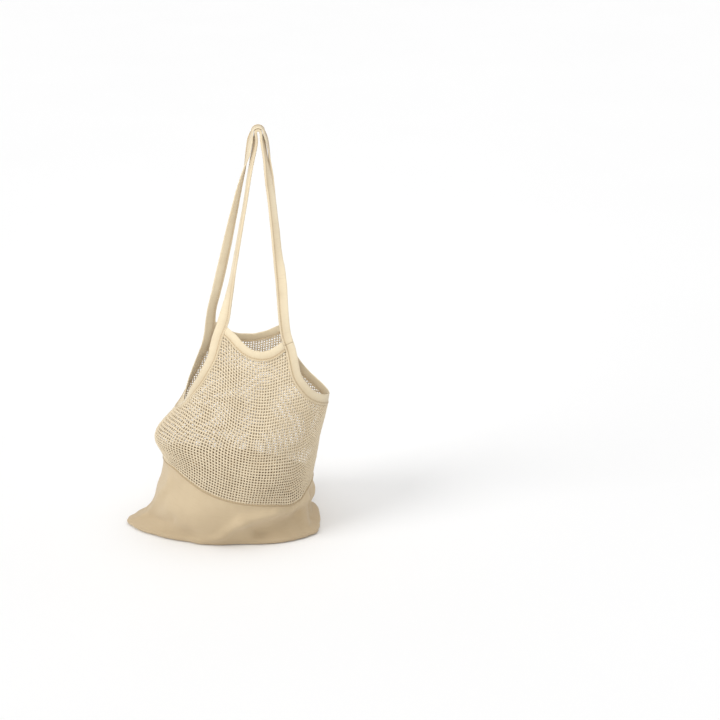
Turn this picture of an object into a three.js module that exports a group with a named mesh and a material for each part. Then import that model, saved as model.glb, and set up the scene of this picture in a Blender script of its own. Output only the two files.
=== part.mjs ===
// String shopping bag: a calico lower bag, two square-net panels and bound edges whose tapes run on
// as the two handles. It hangs filled out, as when its handles are looped over one point.
// Axes: +X to the viewer's right, -Y the front, +Z up. The origin is where the handles hang.
import * as THREE from 'three';

// Driving sizes, in millimetres
const handleDrop = 266;      // from the hanging point down to the neck corners
const bagHeight = 291;       // from the neck corners down to the base
const bagWidth = 281;        // across the spread base corners
const bagDepth = 170;        // front to back at the belly
const tapeWidth = 15;        // cotton tape folded double over the scoops, which runs on as the handles
const neckTapeWidth = 13.5;
const sideTapeRise = 9;      // of the side tape's ends above the right neck corners
const scoopLean = 24;        // degrees that the left binding leans inward at the left side
const tapeThickness = 2;
const ridgeThickness = 2.6;  // the stitched ridge along the tape's net side
const calicoThickness = 1.4;
const netThickness = 1.6;
const clearance = 0.4;       // between pieces that are sewn together on the real bag
const hangingRadius = 1.5;   // of the bend where the handles hang

// Fineness of the faceted walls, in degrees round the bag and steps along each piece
const columnStep = 4.5;
const netRows = 15;
const latticeColumns = 4;    // columns in one gap and the bar beside it
const closestColumns = 0.7;  // least step in degrees between two columns of a net
const neckCornerFrom = 46;   // the net's columns follow the edge's own rows between these two angles
const neckCornerTo = 126;
const calicoRows = [0, 0.05, 0.15, 0.3, 0.5, 0.75, 1]; // shares of the way up from base to seam
const baseRings = [0.92, 0.5];                         // shares of the base's reach
const legSteps = 18;
const bendSteps = 6;

const floorLevel = -(handleDrop + bagHeight);
const radians = Math.PI / 180;

// Level sections from the base up. Heights are shares of bagHeight, widths of bagWidth and depths of
// bagDepth. Square is the power of the right half's outline, before and behind: 2 is an ellipse, and
// more is nearer a rectangle.
const bodySections = [
  { up: 0.000, middle: -0.196, left: 0.491, right: 0.460, front: 0.480, back: 0.471, square: 3.8, squareBack: 2.4 },
  { up: 0.010, middle: -0.196, left: 0.502, right: 0.466, front: 0.494, back: 0.482, square: 3.7, squareBack: 2.4 },
  { up: 0.034, middle: -0.183, left: 0.448, right: 0.410, front: 0.506, back: 0.494, square: 3.2, squareBack: 2.2 },
  { up: 0.076, middle: -0.164, left: 0.413, right: 0.388, front: 0.515, back: 0.500, square: 2.6, squareBack: 2.1 },
  { up: 0.124, middle: -0.146, left: 0.409, right: 0.376, front: 0.524, back: 0.506, square: 2.2, squareBack: 2.0 },
  { up: 0.189, middle: -0.128, left: 0.409, right: 0.363, front: 0.529, back: 0.506, square: 2.1, squareBack: 2.0 },
  { up: 0.258, middle: -0.114, left: 0.397, right: 0.352, front: 0.535, back: 0.506, square: 2.0, squareBack: 2.0 },
  { up: 0.344, middle: -0.100, left: 0.391, right: 0.356, front: 0.529, back: 0.500, square: 2.0, squareBack: 2.0 },
  { up: 0.430, middle: -0.085, left: 0.388, right: 0.356, front: 0.506, back: 0.482, square: 2.0, squareBack: 2.0 },
  { up: 0.515, middle: -0.071, left: 0.370, right: 0.363, front: 0.471, back: 0.453, square: 2.0, squareBack: 2.0 },
  { up: 0.601, middle: -0.057, left: 0.349, right: 0.370, front: 0.418, back: 0.412, square: 2.0, squareBack: 2.0 },
  { up: 0.687, middle: -0.043, left: 0.352, right: 0.363, front: 0.365, back: 0.365, square: 2.0, squareBack: 2.0 },
  { up: 0.780, middle: -0.036, left: 0.342, right: 0.320, front: 0.318, back: 0.318, square: 2.0, squareBack: 2.0 },
  { up: 0.900, middle: -0.028, left: 0.306, right: 0.278, front: 0.247, back: 0.247, square: 2.0, squareBack: 2.0 },
  { up: 1.000, middle: -0.028, left: 0.270, right: 0.249, front: 0.188, back: 0.188, square: 2.0, squareBack: 2.0 },
];

// The left half's outline comes to a point at the spread base corner
const cornerPoint = [
  { up: 0.000, square: 1.55 },
  { up: 0.034, square: 1.60 },
  { up: 0.100, square: 1.90 },
  { up: 0.150, square: 2.00 },
];

// The back of the neck hangs a little further left than the front, a share of bagWidth
const backLean = [
  { up: 0.40, lean: 0 },
  { up: 0.60, lean: -0.014 },
  { up: 0.78, lean: -0.028 },
  { up: 1.00, lean: -0.032 },
];

// Places where the load pushes the net out. Angles go round the bag from the left side by the front.
// Out is a share of bagDepth, rise of bagHeight and spread is in degrees.
const bulges = [
  { angle: 17, up: 0.500, out: 0.150, spread: 31, rise: 0.104 },
  { angle: 36, up: 0.525, out: 0.030, spread: 18, rise: 0.090 },
  { angle: 95, up: 0.540, out: 0.042, spread: 17, rise: 0.085 },
  { angle: 112, up: 0.345, out: 0.040, spread: 17, rise: 0.085 },
  { angle: 262, up: 0.480, out: 0.036, spread: 20, rise: 0.100 },
  { angle: 318, up: 0.460, out: 0.036, spread: 18, rise: 0.095 },
];

// Folds of the calico, each a soft ridge (out above 0) or valley between two places on the wall.
// Up is a share of bagHeight, out and width shares of bagDepth.
const folds = [
  { angle: 156, up: 0.172, toAngle: 116, toUp: 0.172, out: 0.024, width: 0.046 },
  { angle: 116, up: 0.172, toAngle: 92, toUp: 0.130, out: 0.030, width: 0.050 },
  { angle: 92, up: 0.130, toAngle: 77, toUp: 0.030, out: 0.024, width: 0.050 },
  { angle: 142, up: 0.085, toAngle: 104, toUp: 0.060, out: -0.040, width: 0.085 },
  { angle: 60, up: 0.150, toAngle: 36, toUp: 0.140, out: 0.018, width: 0.120 },
  { angle: 26, up: 0.260, toAngle: 4, toUp: 0.020, out: 0.022, width: 0.060 },
  { angle: 40, up: 0.100, toAngle: 14, toUp: 0.020, out: -0.020, width: 0.060 },
  { angle: 160, up: 0.190, toAngle: 170, toUp: 0.020, out: -0.030, width: 0.050 },
  { angle: 172, up: 0.205, toAngle: 178, toUp: 0.110, out: 0.020, width: 0.032 },
  { angle: 184, up: 0.150, toAngle: 176, toUp: 0.060, out: -0.024, width: 0.040 },
  { angle: 222, up: 0.180, toAngle: 262, toUp: 0.030, out: 0.024, width: 0.050 },
  { angle: 232, up: 0.190, toAngle: 276, toUp: 0.050, out: -0.018, width: 0.046 },
  { angle: 322, up: 0.250, toAngle: 346, toUp: 0.020, out: 0.022, width: 0.060 },
];

// The front panel: the net's top edge, the seam to the calico and the line that the net's rows
// follow, each by angle from the left side (0) over the middle (90) to the right side (180)
const frontPanel = {
  front: true,
  leftScoop: [
    { angle: 0, up: 0.5965 },
    { angle: 6, up: 0.599 },
    { angle: 12, up: 0.608 },
    { angle: 23, up: 0.639 },
    { angle: 34, up: 0.701 },
    { angle: 43, up: 0.759 },
    { angle: 49, up: 0.821 },
    { angle: 53, up: 0.887 },
    { angle: 54.2, up: 0.938 },
    { angle: 55.5, up: 0.976 },
  ],
  neck: [
    { angle: 55.5, up: 0.976 },
    { angle: 62, up: 0.955 },
    { angle: 70, up: 0.921 },
    { angle: 78, up: 0.892 },
    { angle: 86, up: 0.875 },
    { angle: 95, up: 0.868 },
    { angle: 104, up: 0.873 },
    { angle: 112, up: 0.888 },
    { angle: 119, up: 0.905 },
  ],
  rightScoop: [
    { angle: 119, up: 0.905 },
    { angle: 119.8, up: 0.852 },
    { angle: 121, up: 0.797 },
    { angle: 124.4, up: 0.742 },
    { angle: 131, up: 0.687 },
    { angle: 141, up: 0.651 },
    { angle: 155, up: 0.622 },
    { angle: 168, up: 0.605 },
    { angle: 180, up: 0.595 },
  ],
  seam: [
    { angle: 0, up: 0.349 },
    { angle: 15, up: 0.356 },
    { angle: 28, up: 0.354 },
    { angle: 42, up: 0.326 },
    { angle: 64, up: 0.271 },
    { angle: 87, up: 0.230 },
    { angle: 117, up: 0.196 },
    { angle: 132, up: 0.175 },
    { angle: 142, up: 0.182 },
    { angle: 153, up: 0.210 },
    { angle: 167, up: 0.227 },
    { angle: 180, up: 0.230 },
  ],
  rowCrest: [
    { angle: 0, up: 0.960 },
    { angle: 30, up: 0.985 },
    { angle: 55.5, up: 0.976 },
    { angle: 78, up: 0.892 },
    { angle: 95, up: 0.868 },
    { angle: 112, up: 0.888 },
    { angle: 145, up: 0.930 },
    { angle: 180, up: 0.950 },
  ],
};

// The back panel, by the same angles
const backPanel = {
  front: false,
  leftScoop: [
    { angle: 0, up: 0.5965 },
    { angle: 6, up: 0.5985 },
    { angle: 11, up: 0.605 },
    { angle: 22, up: 0.639 },
    { angle: 33, up: 0.691 },
    { angle: 42, up: 0.746 },
    { angle: 48, up: 0.808 },
    { angle: 51.6, up: 0.876 },
    { angle: 53, up: 0.935 },
  ],
  neck: [
    { angle: 53, up: 0.935 },
    { angle: 60, up: 0.907 },
    { angle: 70, up: 0.876 },
    { angle: 82, up: 0.859 },
    { angle: 94, up: 0.857 },
    { angle: 104, up: 0.868 },
    { angle: 113, up: 0.883 },
    { angle: 121, up: 0.904 },
  ],
  rightScoop: [
    { angle: 121, up: 0.904 },
    { angle: 122.2, up: 0.842 },
    { angle: 125.5, up: 0.759 },
    { angle: 131.5, up: 0.694 },
    { angle: 141, up: 0.653 },
    { angle: 155, up: 0.619 },
    { angle: 168, up: 0.601 },
    { angle: 180, up: 0.595 },
  ],
  seam: [
    { angle: 0, up: 0.349 },
    { angle: 20, up: 0.347 },
    { angle: 42, up: 0.309 },
    { angle: 64, up: 0.261 },
    { angle: 88, up: 0.234 },
    { angle: 112, up: 0.213 },
    { angle: 136, up: 0.203 },
    { angle: 160, up: 0.220 },
    { angle: 180, up: 0.230 },
  ],
  rowCrest: [
    { angle: 0, up: 0.960 },
    { angle: 53, up: 0.935 },
    { angle: 88, up: 0.857 },
    { angle: 121, up: 0.904 },
    { angle: 180, up: 0.950 },
  ],
};

// Each handle leg from the hanging point to its neck corner. Down, across and forward are shares of
// the corner's own place. Turn is how far the tape has turned its face sideways, in degrees.
const frontLeftLeg = [
  { down: 0.050, across: 0.067, forward: 0.05, turn: 72 },
  { down: 0.142, across: 0.150, forward: 0.12, turn: 74 },
  { down: 0.240, across: 0.240, forward: 0.24, turn: 76 },
  { down: 0.340, across: 0.318, forward: 0.34, turn: 78 },
  { down: 0.460, across: 0.427, forward: 0.46, turn: 76 },
  { down: 0.585, across: 0.538, forward: 0.60, turn: 73 },
  { down: 0.665, across: 0.610, forward: 0.68, turn: 72 },
  { down: 0.745, across: 0.677, forward: 0.76, turn: 65 },
  { down: 0.855, across: 0.790, forward: 0.86, turn: 41 },
  { down: 0.927, across: 0.870, forward: 0.93, turn: 13 },
];
const frontRightLeg = [
  { down: 0.050, across: 0.165, forward: 0.05, turn: 71 },
  { down: 0.136, across: 0.260, forward: 0.12, turn: 67 },
  { down: 0.220, across: 0.330, forward: 0.22, turn: 56 },
  { down: 0.318, across: 0.432, forward: 0.34, turn: 48 },
  { down: 0.525, across: 0.570, forward: 0.54, turn: 42 },
  { down: 0.700, across: 0.708, forward: 0.72, turn: 10 },
  { down: 0.825, across: 0.751, forward: 0.84, turn: 14 },
  { down: 0.916, across: 0.812, forward: 0.92, turn: 18 },
];
const backLeftLeg = [
  { down: 0.050, across: 0.150, forward: 0.05, turn: 108 },
  { down: 0.139, across: 0.235, forward: 0.12, turn: 92 },
  { down: 0.285, across: 0.375, forward: 0.30, turn: 62 },
  { down: 0.390, across: 0.475, forward: 0.42, turn: 52 },
  { down: 0.530, across: 0.600, forward: 0.56, turn: 38 },
  { down: 0.680, across: 0.738, forward: 0.70, turn: 30 },
  { down: 0.800, across: 0.855, forward: 0.82, turn: 33 },
  { down: 0.893, across: 0.951, forward: 0.91, turn: 34 },
];
const backRightLeg = [
  { down: 0.050, across: 0.325, forward: 0.05, turn: 108 },
  { down: 0.136, across: 0.480, forward: 0.12, turn: 84 },
  { down: 0.220, across: 0.515, forward: 0.22, turn: 69 },
  { down: 0.318, across: 0.570, forward: 0.34, turn: 66 },
  { down: 0.525, across: 0.700, forward: 0.54, turn: 50 },
  { down: 0.700, across: 0.800, forward: 0.72, turn: 40 },
  { down: 0.840, across: 0.870, forward: 0.85, turn: 34 },
];

// The tape's cross-section from its net side (0) to its folded side (1)
const tapeSection = [
  { across: 0.00, thick: 0.8 * ridgeThickness },
  { across: 0.07, thick: ridgeThickness },
  { across: 0.19, thick: tapeThickness },
  { across: 0.94, thick: tapeThickness },
  { across: 1.00, thick: 0.5 * tapeThickness },
];

// Value of one named column of a table at a place between its rows, without overshoot
function along(table, place, at, column) {
  const last = table.length - 1;
  if (at <= table[0][place]) return table[0][column];
  if (at >= table[last][place]) return table[last][column];
  let row = 0;
  while (at > table[row + 1][place]) row += 1;
  const slope = (i) => (table[i + 1][column] - table[i][column]) / (table[i + 1][place] - table[i][place]);
  const tangent = (i) => {
    if (i === 0) return slope(0);
    if (i === last) return slope(last - 1);
    const before = slope(i - 1);
    const after = slope(i);
    return before * after <= 0 ? 0 : (2 * before * after) / (before + after);
  };
  const span = table[row + 1][place] - table[row][place];
  const t = (at - table[row][place]) / span;
  const rise = t * t * (3 - 2 * t);
  const startPull = t * (1 - t) * (1 - t) * span * tangent(row);
  const endPull = t * t * (t - 1) * span * tangent(row + 1);
  return table[row][column] * (1 - rise) + table[row + 1][column] * rise + startPull + endPull;
}

const smoothStep = (t) => THREE.MathUtils.smoothstep(t, 0, 1);
const angleBetween = (a, b) => Math.abs(((a - b + 540) % 360) - 180);

// Height of the seam between net and calico, at an angle round the whole bag
function seamHeight(ringAngle) {
  const angle = ringAngle <= 180 ? ringAngle : 360 - ringAngle;
  const panel = ringAngle <= 180 ? frontPanel : backPanel;
  return bagHeight * along(panel.seam, 'angle', angle, 'up');
}

// How far the load pushes the wall out
function bulgeAt(ringAngle, height) {
  let out = 0;
  for (const bulge of bulges) {
    const round = angleBetween(ringAngle, bulge.angle) / bulge.spread;
    const rise = (height / bagHeight - bulge.up) / bulge.rise;
    out += bulge.out * bagDepth * Math.exp(-round * round - rise * rise);
  }
  return out;
}

// How far the calico's folds stand out; they fade away at the seam and at the base edge
function foldAt(ringAngle, height) {
  const degree = (Math.PI * (bagWidth + bagDepth)) / 720;
  const fade = smoothStep(height / (0.05 * bagHeight)) *
    smoothStep((seamHeight(ringAngle) - height) / (0.06 * bagHeight));
  if (fade === 0) return 0;
  let out = 0;
  for (const fold of folds) {
    const runX = (fold.toAngle - fold.angle) * degree;
    const runY = (fold.toUp - fold.up) * bagHeight;
    const x = (((ringAngle - fold.angle + 540) % 360) - 180) * degree;
    const y = height - fold.up * bagHeight;
    const t = THREE.MathUtils.clamp((x * runX + y * runY) / (runX * runX + runY * runY), 0, 1);
    const away = Math.hypot(x - t * runX, y - t * runY) / (fold.width * bagDepth);
    out += fold.out * bagDepth * Math.exp(-away * away);
  }
  return out * fade;
}

// A point in the middle of the bag's wall, at an angle round the bag and a height over the base
function wallPoint(ringAngle, height) {
  const share = height / bagHeight;
  const section = (column) => along(bodySections, 'up', share, column);
  const cosine = Math.cos(ringAngle * radians);
  const sine = Math.sin(ringAngle * radians);
  const rightSquare = section(sine > 0 ? 'square' : 'squareBack');
  const power = 2 / (cosine > 0 ? along(cornerPoint, 'up', share, 'square') : rightSquare);
  const reachX = bagWidth * (cosine > 0 ? section('left') : section('right'));
  const reachY = bagDepth * (sine > 0 ? section('front') : section('back'));
  const lean = sine < 0 ? -sine * bagWidth * along(backLean, 'up', share, 'lean') : 0;
  const outward = new THREE.Vector3(
    -Math.sign(cosine) * reachX * Math.abs(cosine) ** power,
    -Math.sign(sine) * reachY * Math.abs(sine) ** power,
    0,
  );
  const out = bulgeAt(ringAngle, height) + foldAt(ringAngle, height);
  const point = outward.clone().addScaledVector(outward.clone().normalize(), out);
  point.x += bagWidth * section('middle') + lean;
  point.z = floorLevel + height;
  return point;
}

// The wall's outward direction
function wallNormal(ringAngle, height) {
  const step = 0.5;
  const round = wallPoint(ringAngle + step, height).sub(wallPoint(ringAngle - step, height));
  const rise = wallPoint(ringAngle, height + step).sub(wallPoint(ringAngle, height - step));
  return round.cross(rise).normalize();
}

const ringAngleOf = (panel, angle) => (panel.front ? angle : 360 - angle);

// Height of the net's bound top edge
function netEdgeHeight(panel, angle) {
  const leftCorner = panel.neck[0].angle;
  const rightCorner = panel.neck[panel.neck.length - 1].angle;
  let table = panel.neck;
  if (angle < leftCorner) table = panel.leftScoop;
  if (angle > rightCorner) table = panel.rightScoop;
  return bagHeight * along(table, 'angle', angle, 'up');
}

// Angles of the net's columns: even steps, with the rows of the edge's tables near its corners
function columnAngles(panel) {
  const own = [...panel.leftScoop, ...panel.rightScoop].map((row) => row.angle);
  const nearCorner = own.filter((angle) => angle > neckCornerFrom && angle < neckCornerTo);
  const angles = [...new Set(nearCorner)];
  for (let angle = 0; angle <= 180; angle += columnStep) {
    if (angles.every((other) => Math.abs(other - angle) > closestColumns)) angles.push(angle);
  }
  return angles.sort((a, b) => a - b);
}

// Turns vertices and outward triangles into a BufferGeometry with its faces pointing out
function solidGeometry(points, triangles) {
  let volume = 0;
  for (const [a, b, c] of triangles) {
    volume += points[a].dot(points[b].clone().cross(points[c]));
  }
  const ordered = volume > 0 ? triangles : triangles.map(([a, b, c]) => [a, c, b]);
  const geometry = new THREE.BufferGeometry();
  const positions = points.flatMap((point) => [point.x, point.y, point.z]);
  geometry.setAttribute('position', new THREE.Float32BufferAttribute(positions, 3));
  geometry.setIndex(ordered.flat());
  geometry.computeVertexNormals();
  return geometry;
}

// A cloth wall: the middle surface's faces, given half the thickness to each side and closed edges
function clothWall(points, faces, thickness) {
  const triangles = faces.flatMap(([a, b, c, d]) => (d === undefined ? [[a, b, c]] : [[a, b, c], [a, c, d]]))
    .filter(([a, b, c]) => a !== b && b !== c && c !== a);
  const normals = points.map(() => new THREE.Vector3());
  for (const [a, b, c] of triangles) {
    const edge = points[b].clone().sub(points[a]);
    const normal = edge.cross(points[c].clone().sub(points[a]));
    [a, b, c].forEach((corner) => normals[corner].add(normal));
  }
  const offset = (sign) => points.map(
    (point, i) => point.clone().addScaledVector(normals[i].normalize(), sign * 0.5 * thickness));
  const count = points.length;
  const solid = [];
  const sides = new Set();
  for (const [a, b, c] of triangles) {
    solid.push([a, b, c], [count + a, count + c, count + b]);
    sides.add(`${a},${b}`).add(`${b},${c}`).add(`${c},${a}`);
  }
  for (const side of sides) {
    const [a, b] = side.split(',').map(Number);
    if (sides.has(`${b},${a}`)) continue;
    solid.push([a, count + a, count + b], [a, count + b, b]);
  }
  return compact([...offset(1), ...offset(-1)], solid);
}

// Leaves out the vertices that no triangle uses
function compact(points, triangles) {
  const place = new Map();
  const kept = [];
  const renumber = (i) => {
    if (!place.has(i)) {
      place.set(i, kept.length);
      kept.push(points[i]);
    }
    return place.get(i);
  };
  return solidGeometry(kept, triangles.map((triangle) => triangle.map(renumber)));
}

// One net panel, cut through in square gaps between its strands
function netPanel(panel) {
  const angles = columnAngles(panel);
  const last = angles.length - 1;
  const sideGap = (0.5 * clearance) / (0.5 * bagDepth * radians);
  const points = [];
  const numbers = [];
  const whole = [];
  angles.forEach((angle, i) => {
    const held = THREE.MathUtils.clamp(angle, sideGap, 180 - sideGap);
    const ringAngle = ringAngleOf(panel, held);
    const bottom = seamHeight(ringAngle) + 0.5 * clearance;
    const crest = bagHeight * along(panel.rowCrest, 'angle', angle, 'up');
    const top = netEdgeHeight(panel, angle);
    numbers[i] = [];
    whole[i] = [];
    for (let j = 0; j <= netRows; j += 1) {
      const height = bottom + (crest - bottom) * (j / netRows);
      whole[i][j] = height < top - 0.25 * tapeWidth;
      if (j > 0 && !whole[i][j - 1]) {
        numbers[i][j] = numbers[i][j - 1];
        continue;
      }
      numbers[i][j] = points.length;
      points.push(wallPoint(ringAngle, whole[i][j] ? height : top));
    }
  });
  // A gap takes two columns and one row, and is left out where the bound edge is too near
  const gapColumn = (i) => {
    const step = Math.floor(0.5 * (angles[i] + angles[i + 1]) / columnStep) % latticeColumns;
    return step === 1 || step === 2;
  };
  const gapIsWhole = (i, j) => {
    let first = i;
    let end = i;
    while (first > 0 && gapColumn(first - 1)) first -= 1;
    while (end < last - 1 && gapColumn(end + 1)) end += 1;
    for (let k = first; k <= end + 1; k += 1) {
      if (!whole[k][j + 1]) return false;
    }
    return true;
  };
  const faces = [];
  for (let i = 0; i < last; i += 1) {
    for (let j = 0; j < netRows; j += 1) {
      if (j % 2 === 1 && gapColumn(i) && gapIsWhole(i, j)) continue;
      const face = [numbers[i][j], numbers[i + 1][j], numbers[i + 1][j + 1], numbers[i][j + 1]];
      if (new Set(face).size < 3) continue;
      faces.push(panel.front ? face : face.reverse());
    }
  }
  return clothWall(points, faces, netThickness);
}

// The calico bag: its wall from the base edge to the seam, and the flat base
function calicoBag() {
  const columns = 360 / columnStep;
  const points = [];
  const faces = [];
  for (const share of calicoRows) {
    for (let i = 0; i < columns; i += 1) {
      const top = seamHeight(i * columnStep) - 0.5 * clearance;
      const point = wallPoint(i * columnStep, share * top);
      point.z += 0.5 * calicoThickness * (1 - share);
      points.push(point);
    }
  }
  const ring = (level, i) => level * columns + (i % columns);
  for (let level = 0; level < calicoRows.length - 1; level += 1) {
    for (let i = 0; i < columns; i += 1) {
      faces.push([ring(level, i), ring(level, i + 1), ring(level + 1, i + 1), ring(level + 1, i)]);
    }
  }
  const middle = new THREE.Vector3(bagWidth * bodySections[0].middle, 0, points[0].z);
  const firstRing = calicoRows.length;
  for (const share of baseRings) {
    for (let i = 0; i < columns; i += 1) points.push(middle.clone().lerp(points[i], share));
  }
  const centre = points.push(middle) - 1;
  for (let i = 0; i < columns; i += 1) {
    faces.push([ring(0, i), ring(firstRing, i), ring(firstRing, i + 1), ring(0, i + 1)]);
    faces.push([ring(firstRing, i), ring(firstRing + 1, i), ring(firstRing + 1, i + 1), ring(firstRing, i + 1)]);
    faces.push([ring(firstRing + 1, i), centre, ring(firstRing + 1, i + 1)]);
  }
  return clothWall(points, faces, calicoThickness);
}

// Stations of a tape that binds the wall along a run of places. Low is the tape's net side, high its
// folded side and face its outward direction. Up is 1 or -1, the side of the run that the tape is on.
// Lean is how far the tape leans inward at the middle of the run, in degrees.
function boundStations(places, up, width, lean = 0) {
  const points = places.map(({ ringAngle, height }) => wallPoint(ringAngle, height));
  return places.map(({ ringAngle, height }, i) => {
    const before = points[Math.max(0, i - 1)];
    const after = points[Math.min(points.length - 1, i + 1)];
    const direction = after.clone().sub(before).normalize();
    const turn = lean * radians * Math.sin((Math.PI * i) / (places.length - 1));
    const side = wallNormal(ringAngle, height).cross(direction).multiplyScalar(up).normalize();
    side.applyAxisAngle(direction, -up * turn);
    const face = direction.clone().cross(side).multiplyScalar(up);
    const low = points[i].clone().addScaledVector(side, clearance);
    return { low, high: low.clone().addScaledVector(side, width), face, direction };
  });
}

// Places along a net panel's edge between two angles, at its columns
function edgePlaces(panel, from, to) {
  const angles = columnAngles(panel).filter((angle) => angle >= from && angle <= to);
  return angles.map((angle) => (
    { ringAngle: ringAngleOf(panel, angle) % 360, height: netEdgeHeight(panel, angle) }));
}

const middleOf = (station) => station.low.clone().add(station.high).multiplyScalar(0.5);

// A station between two others, at a distance from the first
function stationBetween(from, to, distance) {
  const share = distance / middleOf(from).distanceTo(middleOf(to));
  return {
    low: from.low.clone().lerp(to.low, share),
    high: from.high.clone().lerp(to.high, share),
    face: from.face.clone().lerp(to.face, share).normalize(),
  };
}

// Stations of one handle leg, from the bend at the hanging point to its neck corner
function legStations(corner, table, bendRadius, front, left) {
  const cornerMiddle = middleOf(corner);
  const sideways = left ? -1 : 1;
  const facing = front ? -1 : 1;
  const route = [new THREE.Vector3(sideways * bendRadius, 0, -hangingRadius)];
  const faces = [new THREE.Vector3(sideways, 0, 0)];
  for (const row of table) {
    route.push(new THREE.Vector3(row.across * cornerMiddle.x, row.forward * cornerMiddle.y,
      row.down * cornerMiddle.z));
    const turn = row.turn * radians;
    faces.push(new THREE.Vector3(sideways * Math.sin(turn), facing * Math.cos(turn), 0));
  }
  route.push(cornerMiddle);
  faces.push(corner.face);
  const path = new THREE.CatmullRomCurve3(route, false, 'centripetal');
  const facePath = new THREE.CatmullRomCurve3(faces, false, 'centripetal');
  const cornerSide = corner.high.clone().sub(corner.low).normalize();
  const stations = [];
  for (let i = 1; i < legSteps; i += 1) {
    const t = i / legSteps;
    const middle = path.getPoint(t);
    const direction = path.getTangent(t);
    const face = facePath.getPoint(t);
    face.addScaledVector(direction, -face.dot(direction)).normalize();
    const side = direction.clone().cross(face).normalize();
    if (side.dot(cornerSide) * 2 + side.y * -facing < 0) side.negate();
    const half = 0.5 * tapeWidth;
    stations.push({
      low: middle.clone().addScaledVector(side, -half),
      high: middle.clone().addScaledVector(side, half),
      face,
      direction,
    });
  }
  return stations;
}

// Stations of the bend over the hanging point, from left to right
function bendStations(bendRadius, front) {
  const stations = [];
  for (let i = 0; i <= bendSteps; i += 1) {
    const turn = Math.PI * (i / bendSteps);
    const face = new THREE.Vector3(-Math.cos(turn), 0, Math.sin(turn));
    const middle = new THREE.Vector3(0, 0, -hangingRadius).addScaledVector(face, bendRadius);
    const side = new THREE.Vector3(0, front ? 1 : -1, 0);
    stations.push({
      low: middle.clone().addScaledVector(side, -0.5 * tapeWidth),
      high: middle.clone().addScaledVector(side, 0.5 * tapeWidth),
      face,
    });
  }
  return stations;
}

// A tape's solid: its cross-section carried through the stations
function tapeSolid(stations) {
  const points = [];
  const triangles = [];
  const sides = 2 * tapeSection.length;
  for (const { low, high, face } of stations) {
    const across = high.clone().sub(low);
    const edge = (row, sign) => low.clone().addScaledVector(across, row.across)
      .addScaledVector(face, sign * 0.5 * row.thick);
    tapeSection.forEach((row) => points.push(edge(row, 1)));
    [...tapeSection].reverse().forEach((row) => points.push(edge(row, -1)));
  }
  const at = (station, side) => station * sides + (side % sides);
  for (let k = 0; k < stations.length - 1; k += 1) {
    for (let side = 0; side < sides; side += 1) {
      triangles.push([at(k, side), at(k, side + 1), at(k + 1, side + 1)]);
      triangles.push([at(k, side), at(k + 1, side + 1), at(k + 1, side)]);
    }
  }
  const end = stations.length - 1;
  for (let side = 0; side < sides / 2 - 1; side += 1) {
    const other = sides - 1 - side;
    triangles.push([at(0, side), at(0, other), at(0, other - 1)]);
    triangles.push([at(0, side), at(0, other - 1), at(0, side + 1)]);
    triangles.push([at(end, side), at(end, other - 1), at(end, other)]);
    triangles.push([at(end, side), at(end, side + 1), at(end, other - 1)]);
  }
  return solidGeometry(points, triangles);
}

// A place along the net side of a handle leg, at a distance from the neck corner
function upTheLeg(cornerFirst, distance) {
  let left = distance;
  for (let i = 1; i < cornerFirst.length; i += 1) {
    const from = cornerFirst[i - 1].low;
    const length = from.distanceTo(cornerFirst[i].low);
    if (left <= length) return from.clone().lerp(cornerFirst[i].low, left / length);
    left -= length;
  }
  return cornerFirst[cornerFirst.length - 1].low.clone();
}

// The neck binding between two legs, its ends cut along the legs' net sides
function neckStations(panel, leftLeg, rightLeg) {
  const from = panel.neck[0].angle;
  const to = panel.neck[panel.neck.length - 1].angle;
  const run = boundStations(edgePlaces(panel, from, to), panel.front ? 1 : -1, neckTapeWidth);
  const cut = (station, leg, sign) => {
    const move = station.direction.clone().multiplyScalar(sign * clearance);
    const rise = new THREE.Vector3(0, 0, clearance);
    return {
      ...station,
      low: leg[0].low.clone().add(move).add(rise),
      high: upTheLeg(leg, neckTapeWidth).add(move),
    };
  };
  const inner = run.slice(1, -1);
  return [cut(run[0], leftLeg, 1), ...inner, cut(run[run.length - 1], rightLeg, -1)];
}

const frontBend = hangingRadius + 0.5 * ridgeThickness;
const backBend = frontBend + ridgeThickness + clearance;

// The left scoop's binding from the front corner round the left side to the back corner
const leftBinding = boundStations([
  ...edgePlaces(frontPanel, 0, frontPanel.neck[0].angle).reverse(),
  ...edgePlaces(backPanel, columnStep, backPanel.neck[0].angle),
], -1, tapeWidth, scoopLean);

// The right scoop's binding from the front corner round the right side to the back corner
const rightBinding = boundStations([
  ...edgePlaces(frontPanel, frontPanel.rightScoop[0].angle, 180),
  ...edgePlaces(backPanel, backPanel.rightScoop[0].angle, 180 - columnStep).reverse(),
], 1, tapeWidth);

const frontLeftCorner = leftBinding[0];
const backLeftCorner = leftBinding[leftBinding.length - 1];
const frontRightCorner = rightBinding[0];
const backRightCorner = rightBinding[rightBinding.length - 1];

const frontLeft = legStations(frontLeftCorner, frontLeftLeg, frontBend, true, true);
const frontRight = legStations(frontRightCorner, frontRightLeg, frontBend, true, false);
const backLeft = legStations(backLeftCorner, backLeftLeg, backBend, false, true);
const backRight = legStations(backRightCorner, backRightLeg, backBend, false, false);

// The side tape runs a little up both right legs, and the long tape's ends are sewn on above it
const frontJoint = (rise) => stationBetween(frontRightCorner, frontRight[frontRight.length - 1], rise);
const backJoint = (rise) => stationBetween(backRightCorner, backRight[backRight.length - 1], rise);
const sideTape = [frontJoint(sideTapeRise), ...rightBinding, backJoint(sideTapeRise)];

const handleTape = [
  backJoint(sideTapeRise + clearance),
  ...[...backRight].reverse(),
  ...bendStations(backBend, false).reverse(),
  ...backLeft,
  ...[...leftBinding].reverse(),
  ...[...frontLeft].reverse(),
  ...bendStations(frontBend, true),
  ...frontRight,
  frontJoint(sideTapeRise + clearance),
];

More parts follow.
